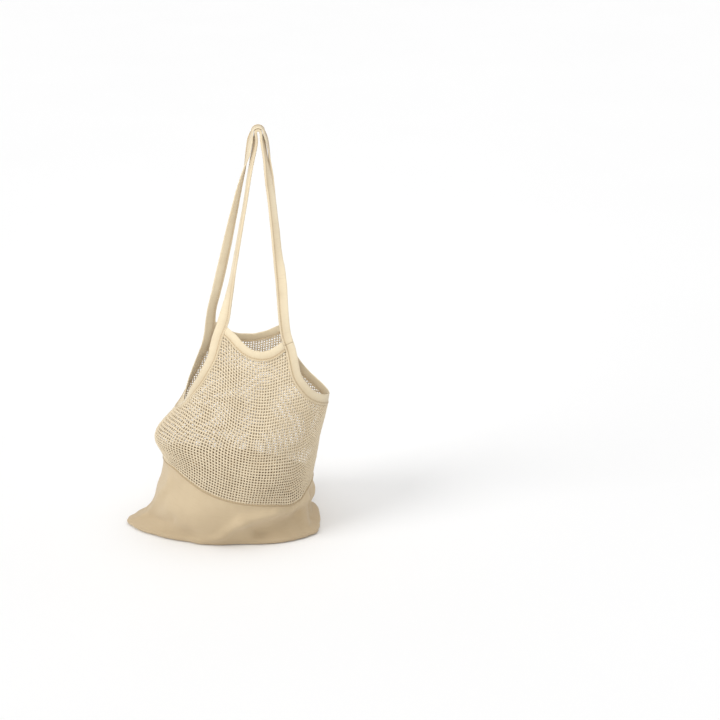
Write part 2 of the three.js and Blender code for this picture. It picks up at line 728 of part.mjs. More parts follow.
const frontNeck = neckStations(frontPanel, [frontLeftCorner, ...[...frontLeft].reverse()],
  [frontRightCorner, ...[...frontRight].reverse()]);
const backNeck = neckStations(backPanel, [backLeftCorner, ...[...backLeft].reverse()],
  [backRightCorner, ...[...backRight].reverse()]);

const calicoCotton = new THREE.MeshStandardMaterial({ color: 0xe4d6b8, roughness: 0.92, metalness: 0 });
const netCotton = new THREE.MeshStandardMaterial({ color: 0xe2d0b6, roughness: 0.9, metalness: 0 });
const tapeCotton = new THREE.MeshStandardMaterial({ color: 0xe8dcc0, roughness: 0.9, metalness: 0 });

const bag = new THREE.Group();

// Adds one named piece to the bag
function add(name, geometry, material) {
  const mesh = new THREE.Mesh(geometry, material);
  mesh.name = name;
  bag.add(mesh);
}

add('calico_bag', calicoBag(), calicoCotton);
add('front_net', netPanel(frontPanel), netCotton);
add('back_net', netPanel(backPanel), netCotton);
add('handle_tape', tapeSolid(handleTape), tapeCotton);
add('side_tape', tapeSolid(sideTape), tapeCotton);
add('front_neck_tape', tapeSolid(frontNeck), tapeCotton);
add('back_neck_tape', tapeSolid(backNeck), tapeCotton);

export default bag;
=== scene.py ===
"""The visual model of a string shopping bag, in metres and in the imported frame.

The bag hangs from the origin, with +X to the right, -Y to the front and +Z up. A calico lower bag is
sewn to two square-net panels, and cotton tapes bind the net's edges and run on as the two handles.
"""

import logging
import math
from dataclasses import dataclass, field
from enum import Enum

import bpy
import numpy as np
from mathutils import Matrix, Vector


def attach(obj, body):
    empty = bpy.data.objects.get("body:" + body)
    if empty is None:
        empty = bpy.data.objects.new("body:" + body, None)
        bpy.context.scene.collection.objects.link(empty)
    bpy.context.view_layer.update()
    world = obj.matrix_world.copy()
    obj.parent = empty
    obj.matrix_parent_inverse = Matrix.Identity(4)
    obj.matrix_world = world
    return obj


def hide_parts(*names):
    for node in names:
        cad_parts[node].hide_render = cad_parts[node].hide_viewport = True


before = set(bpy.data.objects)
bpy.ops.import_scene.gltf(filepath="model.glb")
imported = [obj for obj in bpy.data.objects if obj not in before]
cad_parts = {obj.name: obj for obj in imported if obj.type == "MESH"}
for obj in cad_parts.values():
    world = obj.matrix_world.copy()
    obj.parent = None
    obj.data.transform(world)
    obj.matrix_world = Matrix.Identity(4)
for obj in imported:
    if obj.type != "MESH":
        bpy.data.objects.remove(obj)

LOG = logging.getLogger("shopping_bag")

# Driving sizes, in metres
HANDLE_DROP = 0.266
BAG_HEIGHT = 0.291
BAG_WIDTH = 0.281
BAG_DEPTH = 0.170
TAPE_WIDTH = 0.015
NECK_TAPE_WIDTH = 0.0135
TAPE_THICKNESS = 0.0020
RIDGE_THICKNESS = 0.0031
HANGING_RADIUS = 0.0015
TAPE_GAP = 0.0004
SIDE_TAPE_RISE = 0.009
SCOOP_LEAN = 24.0
CALICO_THICKNESS = 0.0012
NET_PITCH = 0.00366
FLOOR_LEVEL = -(HANDLE_DROP + BAG_HEIGHT)
# The wall's girth as a plain oval, and its length for one degree round the bag
GIRTH = 0.5 * math.pi * (BAG_WIDTH + BAG_DEPTH)
DEGREE_LENGTH = GIRTH / 360
# Lengths are held above this before anything is divided by them
TINY = 1e-12
# How many random values a random line has before it starts again
NOISE_PERIOD = 4096

# Level sections from the base up, as shares of the bag's height, width and depth
SECTION_COLUMNS = ("up", "middle", "left", "right", "front", "back", "square", "square_back")
SECTIONS = (
    (0.000, -0.196, 0.491, 0.460, 0.480, 0.471, 3.8, 2.4),
    (0.010, -0.196, 0.502, 0.466, 0.494, 0.482, 3.7, 2.4),
    (0.034, -0.183, 0.448, 0.410, 0.506, 0.494, 3.2, 2.2),
    (0.076, -0.164, 0.413, 0.388, 0.515, 0.500, 2.6, 2.1),
    (0.124, -0.146, 0.409, 0.376, 0.524, 0.506, 2.2, 2.0),
    (0.189, -0.128, 0.409, 0.363, 0.529, 0.506, 2.1, 2.0),
    (0.258, -0.114, 0.397, 0.352, 0.535, 0.506, 2.0, 2.0),
    (0.344, -0.100, 0.391, 0.356, 0.529, 0.500, 2.0, 2.0),
    (0.430, -0.085, 0.388, 0.356, 0.506, 0.482, 2.0, 2.0),
    (0.515, -0.071, 0.370, 0.363, 0.471, 0.453, 2.0, 2.0),
    (0.601, -0.057, 0.349, 0.370, 0.418, 0.412, 2.0, 2.0),
    (0.687, -0.043, 0.352, 0.363, 0.365, 0.365, 2.0, 2.0),
    (0.780, -0.036, 0.342, 0.320, 0.318, 0.318, 2.0, 2.0),
    (0.900, -0.028, 0.306, 0.278, 0.247, 0.247, 2.0, 2.0),
    (1.000, -0.028, 0.270, 0.249, 0.188, 0.188, 2.0, 2.0),
)
# The base's middle lies left of the hanging point
BASE_MIDDLE = BAG_WIDTH * SECTIONS[0][1]
# The left half's outline power by height: the spread base corner is pointed
CORNER_POINT = ((0.000, 1.55), (0.034, 1.60), (0.100, 1.90), (0.150, 2.00))
# The back of the neck hangs a little further left, a share of the width by height
BACK_LEAN = ((0.40, 0.0), (0.60, -0.014), (0.78, -0.028), (1.00, -0.032))

# Where the load pushes the net out
BULGE_COLUMNS = ("angle", "up", "out", "spread", "rise")
BULGES = (
    (17, 0.500, 0.150, 31, 0.104),
    (36, 0.525, 0.030, 18, 0.090),
    (95, 0.540, 0.042, 17, 0.085),
    (112, 0.345, 0.040, 17, 0.085),
    (262, 0.480, 0.036, 20, 0.100),
    (318, 0.460, 0.036, 18, 0.095),
)

# Folds of the calico, each a soft ridge or valley between two places on the wall
FOLD_COLUMNS = ("angle", "up", "to_angle", "to_up", "out", "width")
FOLDS = (
    (156, 0.172, 116, 0.172, 0.024, 0.052),
    (116, 0.172, 92, 0.130, 0.029, 0.050),
    (92, 0.130, 77, 0.030, 0.024, 0.050),
    (142, 0.090, 104, 0.056, -0.050, 0.080),
    (60, 0.150, 36, 0.140, 0.018, 0.120),
    (26, 0.260, 4, 0.020, 0.022, 0.060),
    (40, 0.100, 14, 0.020, -0.020, 0.060),
    (160, 0.190, 170, 0.020, -0.030, 0.050),
    (172, 0.205, 178, 0.110, 0.020, 0.032),
    (184, 0.150, 176, 0.060, -0.024, 0.040),
    (222, 0.180, 262, 0.030, 0.024, 0.050),
    (232, 0.190, 276, 0.050, -0.018, 0.046),
    (322, 0.250, 346, 0.020, 0.022, 0.060),
)

# Handle legs from the hanging point to their corners, as shares of the corner's place; turn is how
# far the tape has turned its face sideways, in degrees
LEG_COLUMNS = ("down", "across", "forward", "turn")
LEG_ROWS = {
    "front_left": (
        (0.050, 0.067, 0.05, 72), (0.142, 0.150, 0.12, 74), (0.240, 0.240, 0.24, 76),
        (0.340, 0.318, 0.34, 78), (0.460, 0.427, 0.46, 76), (0.585, 0.538, 0.60, 73),
        (0.665, 0.610, 0.68, 72), (0.745, 0.677, 0.76, 65), (0.855, 0.790, 0.86, 41),
        (0.927, 0.870, 0.93, 13),
    ),
    "front_right": (
        (0.050, 0.165, 0.05, 71), (0.136, 0.260, 0.12, 67), (0.220, 0.330, 0.22, 56),
        (0.318, 0.432, 0.34, 48), (0.525, 0.570, 0.54, 42), (0.700, 0.708, 0.72, 10),
        (0.825, 0.751, 0.84, 14), (0.916, 0.812, 0.92, 18),
    ),
    "back_left": (
        (0.050, 0.148, 0.05, 110), (0.100, 0.184, 0.09, 107), (0.145, 0.228, 0.14, 92),
        (0.195, 0.282, 0.19, 76), (0.285, 0.378, 0.30, 62),
        (0.390, 0.475, 0.42, 52), (0.530, 0.600, 0.56, 38), (0.680, 0.738, 0.70, 30),
        (0.800, 0.855, 0.82, 33), (0.893, 0.951, 0.91, 34),
    ),
    "back_right": (
        (0.050, 0.345, 0.05, 96), (0.136, 0.463, 0.12, 86), (0.220, 0.535, 0.22, 76),
        (0.318, 0.570, 0.34, 66), (0.525, 0.700, 0.54, 50), (0.700, 0.800, 0.72, 40),
        (0.840, 0.870, 0.85, 34),
    ),
}


def smooth_curve(places: np.ndarray, values: np.ndarray, at: np.ndarray) -> np.ndarray:
    """Reads a table with a smooth curve that doesn't overshoot its rows.

    Args:
        places: The rows' places, in rising order.
        values: The rows' values.
        at: The places to read.

    Returns:
        The values at those places.
    """
    x = np.asarray(places, float)
    y = np.asarray(values, float)
    slope = np.diff(y) / np.diff(x)
    tangent = np.empty_like(y)
    tangent[0] = slope[0]
    tangent[-1] = slope[-1]
    product = slope[:-1] * slope[1:]
    total = np.where(product > 0, slope[:-1] + slope[1:], 1.0)
    tangent[1:-1] = np.where(product > 0, 2 * product / total, 0.0)
    held = np.clip(at, x[0], x[-1])
    row = np.clip(np.searchsorted(x, held, side="right") - 1, 0, len(x) - 2)
    span = x[row + 1] - x[row]
    t = (held - x[row]) / span
    rise = t * t * (3 - 2 * t)
    start_pull = t * (1 - t) ** 2 * span * tangent[row]
    end_pull = t * t * (t - 1) * span * tangent[row + 1]
    return y[row] * (1 - rise) + y[row + 1] * rise + start_pull + end_pull


def smooth_step(value: np.ndarray) -> np.ndarray:
    """Returns an eased step from 0 to 1, held at its ends."""
    t = np.clip(value, 0.0, 1.0)
    return t * t * (3 - 2 * t)


def soft_noise(place: np.ndarray, step: float, seed: int) -> np.ndarray:
    """Makes a smooth random line.

    Args:
        place: Places along the line.
        step: The distance between the line's own random values.
        seed: The number that the random values come from.

    Returns:
        Values from about -1 to 1.
    """
    grid = np.asarray(place, float) / step
    values = np.random.default_rng(seed).uniform(-1, 1, NOISE_PERIOD)
    cell = np.floor(grid).astype(int)
    t = smooth_step(grid - cell)
    return values[cell % NOISE_PERIOD] * (1 - t) + values[(cell + 1) % NOISE_PERIOD] * t


def unit(vectors: np.ndarray) -> np.ndarray:
    """Returns the vectors with a length of one."""
    length = np.linalg.norm(vectors, axis=-1, keepdims=True)
    return vectors / np.maximum(length, TINY)


def run_lengths(points: np.ndarray) -> np.ndarray:
    """Measures a line of points.

    Args:
        points: The line's points, in order.

    Returns:
        How far along the line each point is, from 0 at the first.
    """
    steps = np.linalg.norm(np.diff(points, axis=0), axis=-1)
    return np.concatenate([[0], np.cumsum(steps)])


class Side(Enum):
    """The front or the back of the bag."""

    FRONT = "front"
    BACK = "back"


@dataclass(frozen=True)
class PanelEdges:
    """One net panel's edges, each a table of height share by angle from the bag's left side."""

    side: Side
    left_scoop: tuple
    neck: tuple
    right_scoop: tuple
    seam: tuple
    row_crest: tuple

    def read(self, table: tuple, angle: np.ndarray) -> np.ndarray:
        """Returns the heights of one table's line, in metres."""
        rows = np.array(table, float)
        return BAG_HEIGHT * smooth_curve(rows[:, 0], rows[:, 1], angle)

    def top(self, angle: np.ndarray) -> np.ndarray:
        """Reads the net's bound top edge, which is a scoop, the neck and a scoop.

        Args:
            angle: Angles from the bag's left side, in degrees.

        Returns:
            The edge's heights, in metres.
        """
        height = self.read(self.neck, angle)
        left = angle < self.neck[0][0]
        right = angle > self.neck[-1][0]
        height = np.where(left, self.read(self.left_scoop, angle), height)
        return np.where(right, self.read(self.right_scoop, angle), height)

    def ring(self, angle: np.ndarray) -> np.ndarray:
        """Returns the angle round the whole bag for an angle on this panel."""
        return angle if self.side is Side.FRONT else 360 - np.asarray(angle)


FRONT_EDGES = PanelEdges(
    side=Side.FRONT,
    left_scoop=(
        (0, 0.5965), (6, 0.599), (12, 0.608), (23, 0.639), (34, 0.701), (43, 0.759),
        (49, 0.821), (53, 0.887), (54.2, 0.938), (55.5, 0.976),
    ),
    neck=(
        (55.5, 0.976), (62, 0.955), (70, 0.921), (78, 0.892), (86, 0.875),
        (95, 0.868), (104, 0.873), (112, 0.888), (119, 0.905),
    ),
    right_scoop=(
        (119, 0.905), (119.8, 0.852), (121, 0.797), (124.4, 0.742), (131, 0.687),
        (141, 0.651), (155, 0.622), (168, 0.605), (180, 0.595),
    ),
    seam=(
        (0, 0.349), (15, 0.356), (28, 0.354), (42, 0.326), (64, 0.271), (87, 0.230),
        (117, 0.196), (132, 0.175), (142, 0.182), (153, 0.210), (167, 0.227), (180, 0.230),
    ),
    row_crest=(
        (0, 0.960), (30, 0.985), (55.5, 0.976), (78, 0.892), (95, 0.868),
        (112, 0.888), (145, 0.930), (180, 0.950),
    ),
)
BACK_EDGES = PanelEdges(
    side=Side.BACK,
    left_scoop=(
        (0, 0.5965), (6, 0.5985), (11, 0.605), (22, 0.639), (33, 0.691), (42, 0.746),
        (48, 0.808), (51.6, 0.876), (53, 0.935),
    ),
    neck=(
        (53, 0.935), (60, 0.907), (70, 0.876), (82, 0.859), (94, 0.857),
        (104, 0.868), (113, 0.883), (121, 0.904),
    ),
    right_scoop=(
        (121, 0.904), (122.2, 0.842), (125.5, 0.759), (131.5, 0.694), (141, 0.653),
        (155, 0.619), (168, 0.601), (180, 0.595),
    ),
    seam=(
        (0, 0.349), (20, 0.347), (42, 0.309), (64, 0.261), (88, 0.234),
        (112, 0.213), (136, 0.203), (160, 0.220), (180, 0.230),
    ),
    row_crest=((0, 0.960), (53, 0.935), (88, 0.857), (121, 0.904), (180, 0.950)),
)


@dataclass(frozen=True)
class BagForm:
    """The middle surface of the bag's wall, by angle round the bag and height over the base.

    The fades and the rim's reach are shares of the bag's height, rim_meet is in degrees, and the steps,
    starts, heights and other reaches are in metres. The strength, slants and fine_share have no unit.
    """

    fold_strength: float = 1.2
    base_fade: float = 0.05
    seam_fade: float = 0.06
    gather_height: float = 0.0006
    gather_step: float = 0.0085
    gather_fine_step: float = 0.0045
    gather_start: float = 0.004
    gather_reach: float = 0.012
    crumple_height: float = 0.0010
    crumple_step: float = 0.031
    crumple_up_step: float = 0.026
    crumple_slant: float = 0.6
    crumple_up_slant: float = 0.3
    rim_wave: float = 0.0024
    rim_step: float = 0.034
    rim_fine_step: float = 0.015
    rim_reach: float = 0.11
    rim_meet: float = 12.0
    fine_share: float = 0.5
    seed: int = 11

    def seam(self, ring: np.ndarray) -> np.ndarray:
        """Reads the seam between net and calico.

        Args:
            ring: Angles round the bag, in degrees.

        Returns:
            The seam's heights over the base, in metres.
        """
        ring = np.mod(ring, 360)
        front = FRONT_EDGES.read(FRONT_EDGES.seam, ring)
        back = BACK_EDGES.read(BACK_EDGES.seam, 360 - ring)
        return np.where(ring <= 180, front, back)

    def bulge(self, ring: np.ndarray, height: np.ndarray) -> np.ndarray:
        """Adds up the bulges that the load pushes into the wall.

        Args:
            ring: Angles round the bag, in degrees.
            height: Heights over the base, in metres.

        Returns:
            The distance out, in metres.
        """
        out = np.zeros(np.broadcast(ring, height).shape)
        for row in BULGES:
            place = dict(zip(BULGE_COLUMNS, row))
            away = (np.mod(ring - place["angle"] + 180, 360) - 180) / place["spread"]
            rise = (height / BAG_HEIGHT - place["up"]) / place["rise"]
            out += place["out"] * BAG_DEPTH * np.exp(-away * away - rise * rise)
        return out

    def uneven(self, girth: np.ndarray, step: float, fine_step: float, seed: int) -> np.ndarray:
        """Returns a random line with a finer and lower one on it."""
        return soft_noise(girth, step, seed) + self.fine_share * soft_noise(girth, fine_step, seed + 1)

    def folds(self, ring: np.ndarray, height: np.ndarray) -> np.ndarray:
        """Adds up the calico's folds, gathers and crumples, and the waves of its base rim.

        Args:
            ring: Angles round the bag, in degrees.
            height: Heights over the base, in metres.

        Returns:
            The distance out, in metres. Folds and crumples fade away at the seam and the base edge.
        """
        seam = self.seam(ring)
        base_fade = smooth_step(height / (self.base_fade * BAG_HEIGHT))
        seam_fade = smooth_step((seam - height) / (self.seam_fade * BAG_HEIGHT))
        out = np.zeros(np.broadcast(ring, height).shape)
        for row in FOLDS:
            fold = dict(zip(FOLD_COLUMNS, row))
            run_x = (fold["to_angle"] - fold["angle"]) * DEGREE_LENGTH
            run_y = (fold["to_up"] - fold["up"]) * BAG_HEIGHT
            x = (np.mod(ring - fold["angle"] + 180, 360) - 180) * DEGREE_LENGTH
            y = height - fold["up"] * BAG_HEIGHT
            t = np.clip((x * run_x + y * run_y) / (run_x**2 + run_y**2), 0, 1)
            away = np.hypot(x - t * run_x, y - t * run_y) / (fold["width"] * BAG_DEPTH)
            out += self.fold_strength * fold["out"] * BAG_DEPTH * np.exp(-away * away)
        out *= base_fade * seam_fade
        below = np.maximum(seam - height, 0)
        girth = np.asarray(ring) * DEGREE_LENGTH
        gather = self.uneven(girth, self.gather_step, self.gather_fine_step, self.seed)
        near = smooth_step(below / self.gather_start) * np.exp(-((below / self.gather_reach) ** 2))
        out += self.gather_height * gather * near * (below > 0)
        across = soft_noise(girth + self.crumple_slant * height, self.crumple_step, self.seed + 2)
        up = soft_noise(height + self.crumple_up_slant * girth, self.crumple_up_step, self.seed + 3)
        out += self.crumple_height * across * up * base_fade * seam_fade * (below > 0)
        # The girth noise has to meet itself at the left side, so it fades to nothing there
        turn = np.mod(ring, 360)
        meet = smooth_step(turn / self.rim_meet) * smooth_step((360 - turn) / self.rim_meet)
        wave = self.uneven(girth, self.rim_step, self.rim_fine_step, self.seed + 4)
        rim_fade = 1 - smooth_step(height / (self.rim_reach * BAG_HEIGHT))
        out += self.rim_wave * wave * meet * rim_fade
        return out

    def wall(self, ring: np.ndarray, height: np.ndarray) -> np.ndarray:
        """Places points on the wall.

        Args:
            ring: Angles round the bag: 0 left, 90 front, 180 right and 270 back.
            height: Heights over the base, in metres.

        Returns:
            The points, in metres, with their three coordinates last.
        """
        ring, height = np.broadcast_arrays(np.asarray(ring, float), np.asarray(height, float))
        share = height / BAG_HEIGHT
        rows = np.array(SECTIONS)
        read = {
            name: smooth_curve(rows[:, 0], rows[:, i], share)
            for i, name in enumerate(SECTION_COLUMNS)
            if i
        }
        corner = np.array(CORNER_POINT)
        lean_rows = np.array(BACK_LEAN)
        cosine = np.cos(np.radians(ring))
        sine = np.sin(np.radians(ring))
        left_power = 2 / smooth_curve(corner[:, 0], corner[:, 1], share)
        right_power = 2 / np.where(sine > 0, read["square"], read["square_back"])
        power = np.where(cosine > 0, left_power, right_power)
        reach_x = BAG_WIDTH * np.where(cosine > 0, read["left"], read["right"])
        reach_y = BAG_DEPTH * np.where(sine > 0, read["front"], read["back"])
        x = -np.sign(cosine) * reach_x * np.abs(cosine) ** power
        y = -np.sign(sine) * reach_y * np.abs(sine) ** power
        out = self.bulge(ring, height) + self.folds(ring, height)
        length = np.maximum(np.hypot(x, y), TINY)
        lean_share = smooth_curve(lean_rows[:, 0], lean_rows[:, 1], share)
        lean = np.where(sine < 0, -sine * BAG_WIDTH * lean_share, 0)
        return np.stack(
            [
                x * (1 + out / length) + BAG_WIDTH * read["middle"] + lean,
                y * (1 + out / length),
                FLOOR_LEVEL + height,
            ],
            axis=-1,
        )

    def normal(self, ring: np.ndarray, height: np.ndarray) -> np.ndarray:
        """Measures the wall's outward directions from places close by.

        Args:
            ring: Angles round the bag, in degrees.
            height: Heights over the base, in metres.

        Returns:
            One direction for each place, with a length of one.
        """
        step_angle = 0.5
        step_height = 0.0005
        around = self.wall(ring + step_angle, height) - self.wall(ring - step_angle, height)
        rise = self.wall(ring, height + step_height) - self.wall(ring, height - step_height)
        return unit(np.cross(around, rise))


@dataclass
class MeshArrays:
    """Vertices, faces and the cloth's own coordinates, gathered before they become one mesh."""

    points: list = field(default_factory=list)
    faces: list = field(default_factory=list)
    places: list = field(default_factory=list)
    count: int = 0

    def add(self, points: np.ndarray, faces: np.ndarray, places: np.ndarray) -> None:
        """Adds vertices and the faces between them.

        Args:
            points: The vertices.
            faces: The faces, by these vertices' own numbers from 0.
            places: One cloth place for each face corner.
        """
        self.points.append(np.asarray(points, float).reshape(-1, 3))
        self.faces.extend((np.asarray(faces) + self.count).tolist())
        self.places.append(np.asarray(places, float).reshape(-1, 3))
        self.count += len(self.points[-1])

    def join(self, faces: np.ndarray, place: tuple) -> None:
        """Adds faces between vertices that are there already.

        Args:
            faces: The faces, by the numbers of all vertices.
            place: The one cloth place that all their corners get.
        """
        faces = np.asarray(faces)
        self.faces.extend(faces.tolist())
        self.places.append(np.tile(place, (faces.size, 1)))

    def to_object(self, name: str) -> bpy.types.Object:
        """Makes one smooth object of what was gathered.

        Args:
            name: The object's name.

        Returns:
            The object, linked to the scene, with the cloth's coordinates in "cloth_place".
        """
        mesh = bpy.data.meshes.new(name)
        mesh.from_pydata(np.concatenate(self.points).tolist(), [], self.faces)
        places = mesh.attributes.new("cloth_place", "FLOAT_VECTOR", "CORNER")
        places.data.foreach_set("vector", np.concatenate(self.places).astype(np.float32).ravel())
        mesh.polygons.foreach_set("use_smooth", np.ones(len(mesh.polygons), bool))
        mesh.update()
        obj = bpy.data.objects.new(name, mesh)
        bpy.context.scene.collection.objects.link(obj)
        return obj


def grid_faces(rows: int, columns: int, wrap: bool) -> np.ndarray:
    """Numbers the quads of a grid whose vertices run along its columns first.

    Args:
        rows: The number of vertex rows.
        columns: The number of vertices in a row.
        wrap: Whether the last column joins the first.

    Returns:
        An array of quads.
    """
    across = columns if wrap else columns - 1
    j, i = np.meshgrid(np.arange(rows - 1), np.arange(across), indexing="ij")
    after = (i + 1) % columns
    quads = [j * columns + i, j * columns + after, (j + 1) * columns + after, (j + 1) * columns + i]
    return np.stack(quads, axis=-1).reshape(-1, 4)


def grid_places(u: np.ndarray, v: np.ndarray) -> np.ndarray:
    """Gives every corner of a grid's quads its cloth place.

    Args:
        u: Places across, one more than the quads across, in metres.
        v: Places along, one more than the quads along, in metres.

    Returns:
        One place for each corner, in the order of grid_faces.
    """
    j, i = np.meshgrid(np.arange(len(v) - 1), np.arange(len(u) - 1), indexing="ij")
    corners = [(i, j), (i + 1, j), (i + 1, j + 1), (i, j + 1)]
    stacked = [np.stack([u[a], v[b], np.zeros(a.shape)], axis=-1) for a, b in corners]
    return np.stack(stacked, axis=2).reshape(-1, 3)


# Shader node groups, each an effect that several of the cloths share


class NodeBuilder:
    """Adds and joins nodes in one tree."""

    def __init__(self, tree: bpy.types.NodeTree) -> None:
        """Keeps the tree that the nodes go into."""
        self.tree = tree

    def node(self, kind: str, **values: object) -> bpy.types.Node:
        """Adds a node.

        Args:
            kind: The node's type.
            values: Its properties by name.

        Returns:
            The node.
        """
        made = self.tree.nodes.new(kind)
        for name, value in values.items():
            setattr(made, name, value)
        return made

    def feed(self, socket: bpy.types.NodeSocket, value: object) -> None:
        """Joins an output to a socket, or sets the socket's own value.

        Args:
            socket: The socket to feed.
            value: Another node's output, or a number, vector or colour.
        """
        if isinstance(value, bpy.types.NodeSocket):
            self.tree.links.new(value, socket)
        else:
            socket.default_value = value

    def placed(self, kind: str, inputs: dict, **values: object) -> bpy.types.Node:
        """Adds a node with its inputs fed.

        Args:
            kind: The node's type.
            inputs: What feeds each input, by the input's name.
            values: The node's properties by name.

        Returns:
            The node.
        """
        made = self.node(kind, **values)
        for name, value in inputs.items():
            self.feed(made.inputs[name], value)
        return made

    def math(self, operation: str, *values: object) -> bpy.types.NodeSocket:
        """Adds a math node.

        Args:
            operation: What it does.
            values: What feeds its inputs, in order.

        Returns:
            Its output.
        """
        made = self.node("ShaderNodeMath", operation=operation)
        for socket, value in zip(made.inputs, values):
            self.feed(socket, value)
        return made.outputs[0]

    def plus(self, total: object, value: object, share: object) -> bpy.types.NodeSocket:
        """Adds a share of a value to a total."""
        return self.math("ADD", total, self.math("MULTIPLY", value, share))

    def axes(self, vector: bpy.types.NodeSocket) -> bpy.types.NodeOutputs:
        """Returns the outputs X, Y and Z of a vector."""
        return self.placed("ShaderNodeSeparateXYZ", {"Vector": vector}).outputs

    def noise(self, vector: object, scale: float, detail: float = 2.0) -> bpy.types.NodeSocket:
        """Returns the value of a noise texture."""
        inputs = {"Vector": vector, "Scale": scale, "Detail": detail}
        return self.placed("ShaderNodeTexNoise", inputs).outputs["Fac"]

    def ramp(self, value: object, low: float, high: float) -> bpy.types.NodeSocket:
        """Returns the values between low and high spread over 0 to 1."""
        inputs = {"Value": value, "From Min": low, "From Max": high}
        return self.placed("ShaderNodeMapRange", inputs, interpolation_type="SMOOTHSTEP").outputs[0]

    def mix(self, share: object, first: object, second: object) -> bpy.types.NodeSocket:
        """Mixes two colours.

        Args:
            share: How much of the second colour there is, from 0 to 1.
            first: The first colour.
            second: The second colour.

        Returns:
            The mixed colour.
        """
        made = self.node("ShaderNodeMix", data_type="RGBA")
        self.feed(made.inputs[0], share)
        self.feed(made.inputs[6], first)
        self.feed(made.inputs[7], second)
        return made.outputs[2]


def new_group(name: str, inputs: dict, outputs: dict) -> tuple:
    """Starts a shader node group.

    Args:
        name: The group's name.
        inputs: Socket kinds and first values by name.
        outputs: Socket kinds by name.

    Returns:
        The group, a builder for it, its input node and its output node.
    """
    group = bpy.data.node_groups.new(name, "ShaderNodeTree")
    for label, (kind, value) in inputs.items():
        socket = group.interface.new_socket(label, in_out="INPUT", socket_type=kind)
        if value is not None:
            socket.default_value = value
    for label, kind in outputs.items():
        group.interface.new_socket(label, in_out="OUTPUT", socket_type=kind)
    build = NodeBuilder(group)
    return group, build, build.node("NodeGroupInput"), build.node("NodeGroupOutput")


@dataclass(frozen=True)
class PlainWeave:
    """The node group for crossing threads, which gives their height and the shade between them."""

    wander_scale: float = 160.0
    wander_detail: float = 3.0
    shade_start: float = 0.35

    def build(self) -> bpy.types.NodeTree:
        """Builds the group.

        Returns:
            The group.
        """
        group, build, given, made = new_group(
            "plain weave",
            {
                "Place": ("NodeSocketVector", None),
                "Pitch Across": ("NodeSocketFloat", 0.0008),
                "Pitch Along": ("NodeSocketFloat", 0.0008),
                "Unevenness": ("NodeSocketFloat", 0.3),
            },
            {"Height": "NodeSocketFloat", "Between": "NodeSocketFloat"},
        )
        place = given.outputs["Place"]
        wander = build.noise(place, self.wander_scale, self.wander_detail)
        axes = build.axes(place)
        waves = []
        for axis, pitch in (("X", "Pitch Across"), ("Y", "Pitch Along")):
            turns = build.math("DIVIDE", axes[axis], given.outputs[pitch])
            pushed = build.plus(turns, wander, given.outputs["Unevenness"])
            waves.append(build.math("SINE", build.math("MULTIPLY", pushed, 2 * math.pi)))
        crossing = build.math("MULTIPLY", *waves)
        height = build.math("ADD", build.math("MULTIPLY", crossing, 0.5), 0.5)
        build.feed(made.inputs["Height"], height)
        build.feed(made.inputs["Between"], build.ramp(height, self.shade_start, 0.0))
        return group


@dataclass(frozen=True)
class CottonTone:
    """The node group for undyed cotton's uneven tone, slubs and seed flecks."""

    cloud_scale: float = 22.0
    cloud_detail: float = 4.0
    cloud_range: tuple = (0.35, 0.75)
    cloud_share: float = 0.30
    slub_stretch: tuple = (30.0, 900.0, 300.0)
    slub_range: tuple = (0.55, 0.75)
    slub_share: float = 0.18
    between_share: float = 0.35
    fleck_scale: float = 95.0
    fleck_range: tuple = (0.055, 0.02)
    rare_scale: float = 55.0
    rare_level: float = 0.56

    def build(self) -> bpy.types.NodeTree:
        """Builds the group.

        Returns:
            The group.
        """
        group, build, given, made = new_group(
            "undyed cotton tone",
            {
                "Place": ("NodeSocketVector", None),
                "Cotton": ("NodeSocketColor", (0.8, 0.7, 0.5, 1)),
                "Deep Cotton": ("NodeSocketColor", (0.6, 0.5, 0.35, 1)),
                "Fleck": ("NodeSocketColor", (0.2, 0.12, 0.06, 1)),
                "Between": ("NodeSocketFloat", 0.0),
                "Fleck Share": ("NodeSocketFloat", 0.5),
            },
            {"Color": "NodeSocketColor", "Slubs": "NodeSocketFloat"},
        )
        place = given.outputs["Place"]
        clouds = build.ramp(build.noise(place, self.cloud_scale, self.cloud_detail), *self.cloud_range)
        stretch = {"Vector": place, "Scale": self.slub_stretch}
        stretched = build.placed("ShaderNodeMapping", stretch, vector_type="POINT").outputs[0]
        slubs = build.ramp(build.noise(stretched, 1.0), *self.slub_range)
        tone = build.plus(build.math("MULTIPLY", clouds, self.cloud_share), slubs, self.slub_share)
        # Between darkens the colour towards the deep cotton: painted shade between the threads, in the
        # tape's crease and towards the calico's base
        tone = build.plus(tone, given.outputs["Between"], self.between_share)
        cloth = build.mix(tone, given.outputs["Cotton"], given.outputs["Deep Cotton"])
        spots = build.placed(
            "ShaderNodeTexVoronoi", {"Vector": place, "Scale": self.fleck_scale},
            feature="F1", distance="EUCLIDEAN",
        )
        spot = build.ramp(spots.outputs["Distance"], *self.fleck_range)
        rare = build.math("GREATER_THAN", build.noise(place, self.rare_scale, 1.0), self.rare_level)
        flecks = build.math("MULTIPLY", build.math("MULTIPLY", spot, rare), given.outputs["Fleck Share"])
        build.feed(made.inputs["Color"], build.mix(flecks, cloth, given.outputs["Fleck"]))
        build.feed(made.inputs["Slubs"], slubs)
        return group


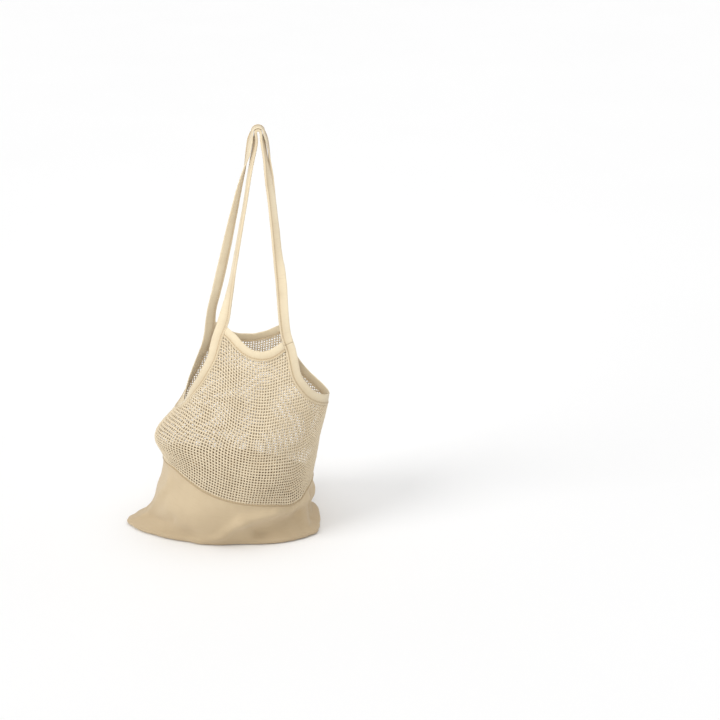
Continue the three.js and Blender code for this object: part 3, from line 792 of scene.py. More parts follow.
@dataclass(frozen=True)
class TwistedFibres:
    """The node group for a yarn's twisted fibres, which gives their height."""

    slant: float = 0.8
    twist_share: float = 0.5
    fuzz_scale: float = 2600.0

    def build(self) -> bpy.types.NodeTree:
        """Builds the group.

        Returns:
            The group.
        """
        group, build, given, made = new_group(
            "twisted fibres",
            {
                "Place": ("NodeSocketVector", None),
                "Twist Pitch": ("NodeSocketFloat", 0.0009),
                "Fuzz": ("NodeSocketFloat", 0.5),
            },
            {"Height": "NodeSocketFloat"},
        )
        place = given.outputs["Place"]
        axes = build.axes(place)
        slanted = build.plus(axes["X"], axes["Y"], self.slant)
        turns = build.math("DIVIDE", slanted, given.outputs["Twist Pitch"])
        twist = build.math("SINE", build.math("MULTIPLY", turns, 2 * math.pi))
        fuzz = build.math("MULTIPLY", build.noise(place, self.fuzz_scale), given.outputs["Fuzz"])
        height = build.math("ADD", build.math("MULTIPLY", twist, self.twist_share), fuzz)
        build.feed(made.inputs["Height"], height)
        return group


@dataclass(frozen=True)
class CottonFinish:
    """One cotton cloth's colours, weave and surface.

    Lengths are in metres. The crease and the base shade are painted shade: colour darkened along a
    tape's groove and beside it, and towards the bottom of the calico. A finish without a crease or base
    shade keeps crease_place or the base shade's height at 0.
    """

    name: str
    slot: str
    cotton: tuple
    deep: tuple
    pitch_across: float
    pitch_along: float
    unevenness: float
    weave_depth: float
    twist_pitch: float
    fibre_depth: float
    fleck_share: float
    roughness: tuple
    slub_share: float = 0.5
    bump_strength: float = 0.8
    sheen: float = 0.25
    sheen_roughness: float = 0.5
    specular: float = 0.25
    crease_place: float = 0.0
    crease_width: float = 0.0
    crease_core: float = 0.3
    groove_shade: float = 0.0
    crease_spread: float = 0.0
    crease_shade: float = 0.0
    base_shade_height: float = 0.0
    base_shade_depth: float = 0.0

    def shade(
        self, build: NodeBuilder, place: bpy.types.NodeSocket, between: bpy.types.NodeSocket
    ) -> bpy.types.NodeSocket:
        """Adds the painted shade of the crease and towards the base to the painted shade between the
        threads.

        Args:
            build: The material's node builder.
            place: The cloth's own coordinates.
            between: The shade between the threads.

        Returns:
            The whole shade.
        """
        # Painted shade: the tape's colour darkens in its stitched groove and, more gently, over a band
        # beside it, where the groove and the tape's rounded face would be in shade
        if self.crease_place:
            across = build.axes(place)["X"]
            away = build.math("ABSOLUTE", build.math("SUBTRACT", across, self.crease_place))
            crease = build.ramp(away, self.crease_width, self.crease_core * self.crease_width)
            beside = build.ramp(away, self.crease_spread, 0.0)
            between = build.plus(between, crease, self.groove_shade)
            between = build.plus(between, beside, self.crease_shade)
        # Painted shade: the colour darkens towards the floor, where the lower calico would be in shade
        if self.base_shade_height:
            level = build.axes(build.node("ShaderNodeTexCoord").outputs["Object"])["Z"]
            base_shade = build.ramp(level, FLOOR_LEVEL + self.base_shade_height, FLOOR_LEVEL)
            between = build.plus(between, base_shade, self.base_shade_depth)
        return between

    def material(self, groups: dict) -> bpy.types.Material:
        """Builds the finish's material.

        Args:
            groups: The shared node groups by name.

        Returns:
            The material.
        """
        material = bpy.data.materials.new(self.name)
        material.use_nodes = True
        material.node_tree.nodes.clear()
        build = NodeBuilder(material.node_tree)
        place = build.node("ShaderNodeAttribute", attribute_name="cloth_place").outputs["Vector"]
        threads = {
            "Place": place,
            "Pitch Across": self.pitch_across,
            "Pitch Along": self.pitch_along,
            "Unevenness": self.unevenness,
        }
        weave = build.placed("ShaderNodeGroup", threads, node_tree=groups["weave"])
        colours = {
            "Place": place,
            "Cotton": (*self.cotton, 1),
            "Deep Cotton": (*self.deep, 1),
            "Between": self.shade(build, place, weave.outputs["Between"]),
            "Fleck Share": self.fleck_share,
        }
        tone = build.placed("ShaderNodeGroup", colours, node_tree=groups["tone"])
        twist = {"Place": place, "Twist Pitch": self.twist_pitch}
        fibres = build.placed("ShaderNodeGroup", twist, node_tree=groups["fibres"])
        slubs = tone.outputs["Slubs"]
        height = build.math("MULTIPLY", weave.outputs["Height"], self.weave_depth)
        height = build.plus(height, fibres.outputs["Height"], self.fibre_depth)
        height = build.plus(height, slubs, self.slub_share * self.weave_depth)
        relief = {"Height": height, "Distance": 1.0, "Strength": self.bump_strength}
        low, high = self.roughness
        surface = {
            "Base Color": tone.outputs["Color"],
            "Roughness": build.math("ADD", build.math("MULTIPLY", slubs, high - low), low),
            "Normal": build.placed("ShaderNodeBump", relief).outputs["Normal"],
            "Sheen Weight": self.sheen,
            "Sheen Roughness": self.sheen_roughness,
            "Specular IOR Level": self.specular,
        }
        shader = build.placed("ShaderNodeBsdfPrincipled", surface)
        build.placed("ShaderNodeOutputMaterial", {"Surface": shader.outputs["BSDF"]})
        return material


# The calico's colour darkens over its lowest 70 mm: painted shade towards the floor
CALICO = CottonFinish(
    name="calico_cotton", slot="calico", cotton=(0.655, 0.525, 0.345), deep=(0.50, 0.38, 0.235),
    pitch_across=0.00095, pitch_along=0.00105, unevenness=0.30, weave_depth=0.00011,
    twist_pitch=0.0005, fibre_depth=0.00002, fleck_share=0.45, roughness=(0.86, 0.96),
    base_shade_height=0.070, base_shade_depth=1.3,
)
NET_YARN = CottonFinish(
    name="net_cotton_yarn", slot="net", cotton=(0.790, 0.670, 0.480), deep=(0.60, 0.47, 0.30),
    pitch_across=0.0009, pitch_along=0.0009, unevenness=0.15, weave_depth=0.00005,
    twist_pitch=0.0011, fibre_depth=0.00012, fleck_share=0.25, roughness=(0.82, 0.94),
)
# The tape's crease values paint shade into its colour along the groove and beside it
TAPE_COTTON = CottonFinish(
    name="binding_tape_cotton", slot="tape", cotton=(0.755, 0.650, 0.465), deep=(0.53, 0.41, 0.255),
    pitch_across=0.00125, pitch_along=0.0017, unevenness=0.25, weave_depth=0.00016,
    twist_pitch=0.0007, fibre_depth=0.00004, fleck_share=0.35, roughness=(0.84, 0.95),
    crease_place=0.00285, crease_width=0.0013, groove_shade=3.4, crease_spread=0.0085,
    crease_shade=0.9,
)
# The seam roll's cotton is the calico's made darker: painted shade for the shadowed line along the seam
SHADED_SEAM_FOLD = CottonFinish(
    name="shaded_seam_fold_cotton", slot="calico", cotton=(0.50, 0.38, 0.23), deep=(0.36, 0.26, 0.15),
    pitch_across=0.0011, pitch_along=0.0011, unevenness=0.3, weave_depth=0.00012,
    twist_pitch=0.0009, fibre_depth=0.00008, fleck_share=0.3, roughness=(0.86, 0.96),
)
SEWING_THREAD = CottonFinish(
    name="sewing_thread_cotton", slot="tape", cotton=(0.84, 0.75, 0.58), deep=(0.66, 0.54, 0.37),
    pitch_across=0.0009, pitch_along=0.0009, unevenness=0.1, weave_depth=0.00002,
    twist_pitch=0.0006, fibre_depth=0.00005, fleck_share=0.0, roughness=(0.70, 0.85),
)


def finish_piece(
    obj: bpy.types.Object, finish: CottonFinish, materials: dict, nodes: tuple = ()
) -> bpy.types.Object:
    """Gives a piece its material and body.

    Args:
        obj: The piece.
        finish: Its finish.
        materials: The materials by name.
        nodes: The CAD nodes that it stands for.

    Returns:
        The same piece.
    """
    obj.data.materials.append(materials[finish.name])
    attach(obj, "root")
    if nodes:
        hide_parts(*nodes)
    return obj


@dataclass
class CalicoBag:
    """The woven lower bag: its wall, from the base's edge up to the seam, and its flat base."""

    form: BagForm
    columns: int = 400
    rows: int = 60
    row_crowding: float = 1.15
    base_rings: int = 12
    edge_radius: float = 0.0045
    tuck: float = 0.0015
    middle_place: tuple = (0.1, 0.3, 0.0)

    def wall_row(self, ring: np.ndarray, seam: np.ndarray, share: float) -> np.ndarray:
        """Places one row of the wall, which turns in round the base's edge.

        Args:
            ring: Angles round the bag, in degrees.
            seam: The heights of the wall's top edge there.
            share: The row's height as a share of them.

        Returns:
            The row's vertices.
        """
        height = share * seam
        wall = self.form.wall(ring, np.maximum(height, self.edge_radius))
        inset = self.edge_radius - np.minimum(height, self.edge_radius)
        drop = self.edge_radius - np.sqrt(np.maximum(self.edge_radius**2 - inset**2, 0))
        inward = unit((wall - np.array([BASE_MIDDLE, 0, 0])) * np.array([1, 1, 0]))
        wall = wall - inward * drop[:, None]
        wall[:, 2] = FLOOR_LEVEL + height + 0.5 * CALICO_THICKNESS * (1 - share)
        return wall

    def points(self) -> tuple:
        """Places the cloth's vertices.

        Returns:
            The rows from the seam down the wall and in over the base, and the base's middle.
        """
        ring = np.arange(self.columns) * 360 / self.columns
        seam = self.form.seam(ring) + self.tuck
        shares = np.linspace(1, 0, self.rows) ** self.row_crowding
        rows = [self.wall_row(ring, seam, share) for share in shares]
        rim = rows[-1]
        middle = np.array([BASE_MIDDLE, 0, rim[0, 2]])
        for step in range(1, self.base_rings + 1):
            rows.append(middle + (rim - middle) * (1 - step / (self.base_rings + 1)))
        return np.array(rows), middle

    def build(self, materials: dict) -> bpy.types.Object:
        """Makes the calico as one sheet with its thickness.

        Args:
            materials: The materials by name.

        Returns:
            The calico's object.
        """
        rows, middle = self.points()
        points = np.concatenate([rows.reshape(-1, 3), middle[None]])
        girth = np.linspace(0, GIRTH, self.columns + 1)
        steps = np.linalg.norm(np.diff(rows, axis=0), axis=-1).mean(axis=1)
        along = np.concatenate([[0], np.cumsum(steps)])
        arrays = MeshArrays()
        arrays.add(points, grid_faces(len(rows), self.columns, wrap=True), grid_places(girth, along))
        last = (len(rows) - 1) * self.columns + np.arange(self.columns)
        hub = np.full(self.columns, len(points) - 1)
        arrays.join(np.stack([last, np.roll(last, -1), hub], axis=-1), self.middle_place)
        obj = arrays.to_object("calico_cloth")
        thick = obj.modifiers.new("cloth thickness", "SOLIDIFY")
        thick.thickness = CALICO_THICKNESS
        thick.offset = 0
        return finish_piece(obj, CALICO, materials, ("calico_bag",))


def every_corner(flags: np.ndarray) -> np.ndarray:
    """Returns which cells of a grid have all four corners flagged."""
    return flags[:-1, :-1] & flags[1:, :-1] & flags[1:, 1:] & flags[:-1, 1:]


@dataclass(frozen=True)
class NetColumns:
    """Where a panel's net columns run: the arc from the front's middle by level and by angle."""

    levels: np.ndarray
    angles: np.ndarray
    arcs: np.ndarray
    sides: np.ndarray
    numbers: np.ndarray

    def find(self, height: np.ndarray, count: np.ndarray) -> np.ndarray:
        """Finds the angles of the columns at their crossings.

        Args:
            height: Heights of the crossings, in metres.
            count: Columns from the middle, negative to the left.

        Returns:
            Angles from the bag's left side, in degrees.
        """
        side = (count > 0).astype(int)
        share = count / self.numbers[side]
        level = (height - self.levels[0]) / (self.levels[1] - self.levels[0])
        # Held just under the last level, so that the one above is still a level
        level = np.clip(level, 0, len(self.levels) - 1.001)
        low = level.astype(int)
        blend = level - low
        place = np.zeros(height.shape)
        for row, weight in ((low, 1 - blend), (low + 1, blend)):
            target = share * np.abs(self.sides[row, side])
            found = np.empty(height.shape)
            for index in np.unique(row):
                chosen = row == index
                found[chosen] = np.interp(target[chosen], self.arcs[index], self.angles)
            place += weight * found
        return place


@dataclass
class NetPanel:
    """One panel of square net: strands round the holes, as one mesh cut along the bound edge.

    The levels, the hole, its corner and the spreads are shares, and edge_step is in degrees. The
    heights, the overlap, the tuck and the jitter are in metres, and so are the radius and the middle of
    the round wall that the yarn's own coordinates are read from.
    """

    form: BagForm
    edges: PanelEdges
    rows: int = 52
    level_range: tuple = (0.15, 1.0)
    level_count: int = 86
    angle_count: int = 721
    scoop_level: float = 0.59
    settle_rounds: int = 5
    seam_tuck: float = 0.001
    edge_step: float = 0.04
    overlap: float = 0.0013
    hole_share: float = 0.52
    hole_spread: float = 0.10
    corner_share: float = 0.80
    knot_height: float = 0.00078
    knot_spread: float = 0.15
    wale_height: float = 0.00066
    row_height: float = 0.00048
    jitter: float = 0.00012
    girth_radius: float = 0.09
    girth_middle: float = -0.02
    seed: int = 5

    def columns(self) -> NetColumns:
        """Measures the panel for its columns, which lie a net pitch apart across the front.

        Returns:
            The columns.
        """
        levels = np.linspace(*self.level_range, self.level_count) * BAG_HEIGHT
        angles = np.linspace(0, 180, self.angle_count)
        wall = self.form.wall(self.edges.ring(angles[None, :]), levels[:, None])
        step = np.linalg.norm(np.diff(wall[..., :2], axis=1), axis=-1)
        arcs = np.concatenate([np.zeros((len(levels), 1)), np.cumsum(step, axis=1)], axis=1)
        middle = self.angle_count // 2
        arcs = arcs - arcs[:, middle : middle + 1]
        sides = np.stack([arcs[:, 0], arcs[:, -1]], axis=1)
        scoop = int(np.argmin(np.abs(levels - self.scoop_level * BAG_HEIGHT)))
        numbers = np.round(np.abs(sides[scoop]) / NET_PITCH)
        # Above the scoops' feet the columns keep their distance, and the bound edges end them
        sides[scoop:] = sides[scoop]
        return NetColumns(levels, angles, arcs, sides, numbers)

    def crossings(self) -> tuple:
        """Places the net's crossings.

        Returns:
            Angles, heights, and which crossings lie beyond the bound edge.
        """
        columns = self.columns()
        left, right = columns.numbers.astype(int)
        share = np.linspace(0, 1, self.rows + 1)
        counts, shares = np.meshgrid(np.arange(-left, right + 1), share, indexing="ij")
        height = np.full(counts.shape, 0.5 * BAG_HEIGHT)
        for _ in range(self.settle_rounds):
            angle = columns.find(height, counts)
            bottom = self.form.seam(self.edges.ring(angle)) - self.seam_tuck
            crest = self.edges.read(self.edges.row_crest, angle)
            height = bottom + (crest - bottom) * shares
        return angle, height, height > self.edges.top(angle)

    def cut(self, points: np.ndarray, normals: np.ndarray, beyond: np.ndarray) -> np.ndarray:
        """Moves the crossings just beyond the bound edge back to it.

        Args:
            points: The crossings' places, changed in place.
            normals: The wall's directions there, changed in place.
            beyond: Which crossings lie beyond the edge.

        Returns:
            Which crossings are in the panel or next to it.
        """
        angles = np.arange(0.0, 180.0 + 0.25 * self.edge_step, self.edge_step)
        ring = self.edges.ring(angles)
        top = self.edges.top(angles)
        edge_points = self.form.wall(ring, top)
        edge_normals = self.form.normal(ring, top)
        near = np.zeros(beyond.shape, bool)
        for di in (-1, 0, 1):
            for dj in (-1, 0, 1):
                near |= np.roll(~beyond, (di, dj), axis=(0, 1))
        moved = beyond & near
        away = np.linalg.norm(points[moved][:, None] - edge_points[None], axis=-1)
        nearest = np.argmin(away, axis=1)
        reach = np.minimum(away.min(axis=1), self.overlap)
        outward = unit(points[moved] - edge_points[nearest])
        points[moved] = edge_points[nearest] + outward * reach[:, None]
        normals[moved] = edge_normals[nearest]
        return near

    def build(self, materials: dict) -> bpy.types.Object:
        """Makes the panel's mesh.

        Args:
            materials: The materials by name.

        Returns:
            The net's object.
        """
        angle, height, beyond = self.crossings()
        ring = self.edges.ring(angle)
        points = self.form.wall(ring, height)
        normals = self.form.normal(ring, height)
        near = self.cut(points, normals, beyond)
        draw = np.random.default_rng(self.seed + (self.edges.side is Side.BACK))
        jitter = draw.normal(0, self.jitter, points.shape)
        jitter[[0, -1]] = 0
        keep = every_corner(near) & ~every_corner(beyond)
        points, faces = self.strands(points + jitter, normals, keep, draw)
        side = 1 if self.edges.side is Side.FRONT else -1
        faces = faces[:, ::side]
        corners = points[faces.ravel()]
        turn = np.arctan2(side * corners[:, 1], corners[:, 0] - self.girth_middle)
        places = np.stack([turn * self.girth_radius, corners[:, 2], np.zeros(len(turn))], axis=-1)
        arrays = MeshArrays()
        arrays.add(points, faces, places)
        obj = arrays.to_object(f"{self.edges.side.value}_net_strands")
        return finish_piece(obj, NET_YARN, materials, (f"{self.edges.side.value}_net",))

    def strands(
        self, points: np.ndarray, normals: np.ndarray, keep: np.ndarray, draw: np.random.Generator
    ) -> tuple:
        """Turns the cells of the net into strands round rounded holes.

        Args:
            points: The crossings' places.
            normals: The wall's directions there.
            keep: Which cells are in the panel.
            draw: The source of small differences.

        Returns:
            The vertices and the quads, which face out on the front panel.
        """
        columns, rows = points.shape[:2]
        knots = np.arange(columns * rows).reshape(columns, rows)
        wales = knots.size + np.arange(columns * (rows - 1)).reshape(columns, rows - 1)
        courses = knots.size + wales.size + np.arange((columns - 1) * rows).reshape(columns - 1, rows)
        flat_points = points.reshape(-1, 3)
        flat_normals = unit(normals.reshape(-1, 3))
        centres = [flat_points]
        directions = [flat_normals]
        lifts = [self.knot_height * draw.uniform(1 - self.knot_spread, 1 + self.knot_spread, knots.size)]
        for first, second, lift in (
            (knots[:, :-1].ravel(), knots[:, 1:].ravel(), self.wale_height),
            (knots[:-1].ravel(), knots[1:].ravel(), self.row_height),
        ):
            centres.append(0.5 * (flat_points[first] + flat_points[second]))
            directions.append(unit(flat_normals[first] + flat_normals[second]))
            lifts.append(np.full(len(first), lift))
        centre = np.concatenate(centres)
        push = np.concatenate(directions) * np.concatenate(lifts)[:, None]
        i, j = np.nonzero(keep)
        # Round each cell from its lower left knot: knot, course, knot, wale, knot, course, knot, wale
        outer = np.stack(
            [
                knots[i, j], courses[i, j], knots[i + 1, j], wales[i + 1, j],
                knots[i + 1, j + 1], courses[i, j + 1], knots[i, j + 1], wales[i, j],
            ],
            axis=1,
        )
        spread = draw.uniform(1 - self.hole_spread, 1 + self.hole_spread, (len(i), 1))
        size = 0.5 * self.hole_share * spread
        corner = size * self.corner_share
        zero = np.zeros_like(size)
        across = np.hstack([-corner, zero, corner, size, corner, zero, -corner, -size])
        along = np.hstack([-corner, -size, -corner, zero, corner, size, corner, zero])
        u = (0.5 + across)[..., None]
        v = (0.5 + along)[..., None]
        a, b, c, d = (flat_points[outer[:, k]][:, None] for k in (0, 2, 4, 6))
        hole = a * (1 - u) * (1 - v) + b * u * (1 - v) + c * u * v + d * (1 - u) * v
        count = len(centre)
        inner = 2 * count + np.arange(outer.size).reshape(-1, 8)
        every_point = np.concatenate([centre + push, centre - push, hole.reshape(-1, 3)])
        after = np.roll(np.arange(8), -1)
        outside = np.stack([outer, outer[:, after], inner[:, after], inner], axis=-1)
        inside = np.stack([inner, inner[:, after], outer[:, after] + count, outer + count], axis=-1)
        rim = self.rim_faces(keep, outer, count)
        faces = np.concatenate([outside.reshape(-1, 4), inside.reshape(-1, 4), rim])
        used, faces = np.unique(faces, return_inverse=True)
        return every_point[used], faces.reshape(-1, 4)

    def rim_faces(self, keep: np.ndarray, outer: np.ndarray, count: int) -> np.ndarray:
        """Closes the strands along the panel's outline.

        Args:
            keep: Which cells are in the panel.
            outer: The eight vertices round each of those cells.
            count: The step from an outer vertex to the inner vertex behind it.

        Returns:
            Quads that join the outer side to the inner side.
        """
        padded = np.pad(keep, 1)
        i, j = np.nonzero(keep)
        faces = []
        # Each side's neighbour, and the vertex of the cell that the side starts from
        for di, dj, first in ((-1, 0, 6), (1, 0, 2), (0, -1, 0), (0, 1, 4)):
            alone = ~padded[1 + i + di, 1 + j + dj]
            for k in (first, first + 1):
                start = outer[alone, k]
                end = outer[alone, (k + 1) % 8]
                faces.append(np.stack([end, start, start + count, end + count], axis=-1))
        return np.concatenate(faces)


@dataclass
class TapeRun:
    """Stations along a tape: its net side, its folded side and its outward direction."""

    low: np.ndarray
    high: np.ndarray
    face: np.ndarray

    def reversed(self) -> "TapeRun":
        """Returns the run from its other end."""
        return TapeRun(self.low[::-1], self.high[::-1], self.face[::-1])

    def part(self, start: int | None, end: int | None) -> "TapeRun":
        """Returns a part of the run."""
        return TapeRun(self.low[start:end], self.high[start:end], self.face[start:end])

    def middle(self) -> np.ndarray:
        """Returns the run's middle line."""
        return 0.5 * (self.low + self.high)

    def distances(self) -> np.ndarray:
        """Returns how far along the run each station is, in metres."""
        return run_lengths(self.middle())

    def at(self, distances: np.ndarray) -> "TapeRun":
        """Reads stations between the run's own ones.

        Args:
            distances: How far along the run they lie, in metres.

        Returns:
            The stations.
        """
        own = self.distances()
        read = [
            np.stack([np.interp(distances, own, line[:, k]) for k in range(3)], axis=-1)
            for line in (self.low, self.high, self.face)
        ]
        return TapeRun(read[0], read[1], unit(read[2]))

    def even(self, step: float) -> "TapeRun":
        """Returns the run with even stations about a step apart."""
        length = self.distances()[-1]
        return self.at(np.linspace(0, length, max(2, int(round(length / step)) + 1)))

    def eased(self, rounds: int, hold: np.ndarray) -> "TapeRun":
        """Smooths the run, less where hold is near 1.

        Args:
            rounds: How many times neighbouring stations are averaged.
            hold: How far each station keeps its own place, from 0 to 1.

        Returns:
            The smoothed run, with its ends kept.
        """
        lines = [self.low.copy(), self.high.copy(), self.face.copy()]
        for _ in range(rounds):
            for line in lines:
                soft = 0.25 * line[:-2] + 0.5 * line[1:-1] + 0.25 * line[2:]
                keep = hold[1:-1, None]
                line[1:-1] = keep * line[1:-1] + (1 - keep) * soft
        return TapeRun(lines[0], lines[1], unit(lines[2]))


def join_runs(*runs: TapeRun) -> TapeRun:
    """Joins runs end to end.

    Args:
        runs: The runs in order.

    Returns:
        One run.
    """
    lines = [[getattr(run, name) for run in runs] for name in ("low", "high", "face")]
    return TapeRun(*(np.concatenate(line) for line in lines))


class Layer(Enum):
    """The two thicknesses of a folded tape: the ridge at its sewn edge, and the rest."""

    RIDGE = RIDGE_THICKNESS
    TAPE = TAPE_THICKNESS


@dataclass
class BindingTapes:
    """The bound edges and handles: one long tape, one side tape and the two neck tapes.

    Steps, reaches, gaps, margins and the stitches' sizes are in metres, side_skip is in degrees, and
    stations, samples, spans and rounds are counted. Swells, spreads, tapers and the rest are shares.
    """

    form: BagForm
    station_step: float = 0.0016
    leg_stations: int = 170
    bend_stations: int = 14
    left_stations: int = 110
    right_stations: int = 100
    neck_stations: int = 70
    joint_stations: int = 7
    edge_samples: int = 4000
    side_skip: float = 0.6
    bend_swell: float = 1.22
    bend_reach: float = 0.013
    bend_gap: float = 0.0002
    bend_spread: float = 1.07
    joint_margin: float = 0.001
    mitre_span: int = 9
    ease_reach: float = 0.022
    ease_hold: float = 1.4
    handle_rounds: int = 10
    side_rounds: int = 6
    end_swell: float = 0.10
    end_reach: float = 0.004
    wander_pivot: float = 0.3
    wander_gain: float = 1.6
    cap_place: tuple = (0.004, 0.0, 0.0)
    seed: int = 20
    seed_step: int = 5

    # The height and the step of each random wave along a tape: two of its width, then its swell and cup
    waves: tuple = ((0.016, 0.021), (0.010, 0.007), (0.07, 0.012), (0.00035, 0.035))

    # Half thickness across the tape, from its net side (0) to its folded side (1), as shares of the
    # layer's own half thickness
    section: tuple = (
        (0.000, 0.30, Layer.RIDGE), (0.012, 0.66, Layer.RIDGE), (0.040, 0.92, Layer.RIDGE),
        (0.080, 1.00, Layer.RIDGE), (0.125, 0.98, Layer.RIDGE), (0.160, 0.82, Layer.RIDGE),
        (0.190, 0.36, Layer.TAPE), (0.228, 0.72, Layer.TAPE), (0.285, 1.00, Layer.TAPE),
        (0.450, 1.06, Layer.TAPE), (0.650, 1.06, Layer.TAPE), (0.820, 1.00, Layer.TAPE),
        (0.920, 0.90, Layer.TAPE), (0.970, 0.68, Layer.TAPE), (1.000, 0.25, Layer.TAPE),
    )

    # The stitches lie in the groove, which is the section's row at stitch_across
    stitch_across: float = 0.190
    stitch_pitch: float = 0.0029
    stitch_length: float = 0.0021
    stitch_radius: float = 0.00030
    stitch_sides: int = 6
    stitch_shares: tuple = (-1.0, -0.82, -0.35, 0.35, 0.82, 1.0)
    stitch_taper: tuple = (0.25, 0.8, 1.0, 1.0, 0.8, 0.25)
    stitch_groove: float = 0.36
    stitch_rise: float = 0.00012
    stitch_dip: float = 0.00030
    stitch_margins: tuple = (0.004, 0.003)

    def bound(
        self, rings: np.ndarray, heights: np.ndarray, up: int, width: float, lean: float = 0.0
    ) -> TapeRun:
        """Makes the stations of a tape that binds the wall along a run of places.

        Args:
            rings: Angles round the bag along the run.
            heights: Heights along the run, in metres.
            up: 1 or -1, the side of the run that the tape is on.
            width: The tape's width.
            lean: How far the tape leans inward at the middle of the run, in degrees.

        Returns:
            The stations.
        """
        points = self.form.wall(rings, heights)
        direction = np.empty_like(points)
        direction[1:-1] = points[2:] - points[:-2]
        direction[0] = points[1] - points[0]
        direction[-1] = points[-1] - points[-2]
        direction = unit(direction)
        normal = self.form.normal(rings, heights)
        side = unit(up * np.cross(normal, direction))
        face = unit(up * np.cross(direction, side))
        share = np.linspace(0, 1, len(points))
        turn = np.radians(lean) * np.sin(math.pi * share)[:, None]
        leaning = side * np.cos(turn) - face * np.sin(turn)
        turned = face * np.cos(turn) + side * np.sin(turn)
        low = points + leaning * TAPE_GAP
        return TapeRun(low, low + leaning * width, turned)

    def edge_run(self, edges: PanelEdges, start: float, end: float, count: int) -> tuple:
        """Spreads places evenly along the length of a net panel's top edge.

        Args:
            edges: The panel's edges.
            start: The first angle on the panel, in degrees.
            end: The last angle.
            count: How many places there are.

        Returns:
            Their angles round the bag and their heights.
        """
        fine = np.linspace(start, end, self.edge_samples)
        length = run_lengths(self.form.wall(edges.ring(fine), edges.top(fine)))
        angles = np.interp(np.linspace(0, length[-1], count), length, fine)
        return edges.ring(angles), edges.top(angles)

    def leg(self, corner: TapeRun, name: str, bend_radius: float) -> TapeRun:
        """Makes one handle leg, from the bend at the hanging point to its neck corner.

        Args:
            corner: The one station at the corner.
            name: The leg's name in LEG_ROWS.
            bend_radius: The radius of the tape's middle at the bend.

        Returns:
            The stations, without the bend's and the corner's own.
        """
        front = name.startswith("front")
        sideways = -1 if name.endswith("left") else 1
        facing = -1 if front else 1
        middle = corner.middle()[0]
        rows = [dict(zip(LEG_COLUMNS, row)) for row in LEG_ROWS[name]]
        route = [[sideways * bend_radius, 0, -HANGING_RADIUS]]
        faces = [[sideways, 0.0, 0.0]]
        for row in rows:
            route.append(
                [row["across"] * middle[0], row["forward"] * middle[1], row["down"] * middle[2]]
            )
            turn = math.radians(row["turn"])
            faces.append([sideways * math.sin(turn), facing * math.cos(turn), 0.0])
        route = np.array([*route, middle])
        faces = np.array([*faces, corner.face[0]])
        chord = run_lengths(route)
        at = np.linspace(0, chord[-1], self.leg_stations + 2)[1:-1]
        line = np.stack([smooth_curve(chord, route[:, k], at) for k in range(3)], axis=-1)
        face = np.stack([smooth_curve(chord, faces[:, k], at) for k in range(3)], axis=-1)
        direction = unit(np.gradient(line, axis=0))
        face = unit(face - direction * np.sum(face * direction, axis=-1, keepdims=True))
        side = unit(np.cross(direction, face))
        corner_side = unit(corner.high - corner.low)[0]
        # The side's sign is free: it agrees with the corner's and, half as strongly, with the bend's
        flip = np.where(2 * side @ corner_side - facing * side[:, 1] < 0, -1.0, 1.0)
        side = side * flip[:, None]
        half = 0.5 * TAPE_WIDTH
        return TapeRun(line - half * side, line + half * side, face)

    def bend(self, radius: float, front: bool) -> TapeRun:
        """Makes the stations over the hanging point.

        Args:
            radius: The radius of the tape's middle.
            front: Whether it is the front handle's bend.

        Returns:
            The stations from left to right.
        """
        turn = np.linspace(0, math.pi, self.bend_stations)
        face = np.stack([-np.cos(turn), np.zeros_like(turn), np.sin(turn)], axis=-1)
        spread = 1.0 if front else self.bend_spread
        middle = np.array([0, 0, -HANGING_RADIUS]) + radius * face * np.array([spread, 1, 1])
        side = np.array([0, 0.5 * TAPE_WIDTH * (1 if front else -1), 0])
        return TapeRun(middle - side, middle + side, face)

    def neck(self, edges: PanelEdges, left: TapeRun, right: TapeRun) -> TapeRun:
        """Makes a neck tape, its ends cut along the net sides of the two legs.

        Args:
            edges: The panel whose neck is bound.
            left: The left leg from its corner up.
            right: The right leg from its corner up.

        Returns:
            The stations from left to right.
        """
        rings, heights = self.edge_run(edges, edges.neck[0][0], edges.neck[-1][0], self.neck_stations)
        up = 1 if edges.side is Side.FRONT else -1
        run = self.bound(rings, heights, up, NECK_TAPE_WIDTH)
        for leg, end in ((left, 0), (right, -1)):
            length = run_lengths(leg.low)
            high = np.array([np.interp(NECK_TAPE_WIDTH, length, leg.low[:, k]) for k in range(3)])
            run.low[end] = leg.low[0]
            run.high[end] = high
            span = self.mitre_span
            order = range(1, span) if end == 0 else range(-2, -span - 1, -1)
            for step, index in enumerate(order, start=1):
                share = smooth_step(np.array(step / span))
                own = run.high[index]
                along = high + (run.low[index] - run.low[end])
                run.high[index] = along * (1 - share) + own * share
        return run

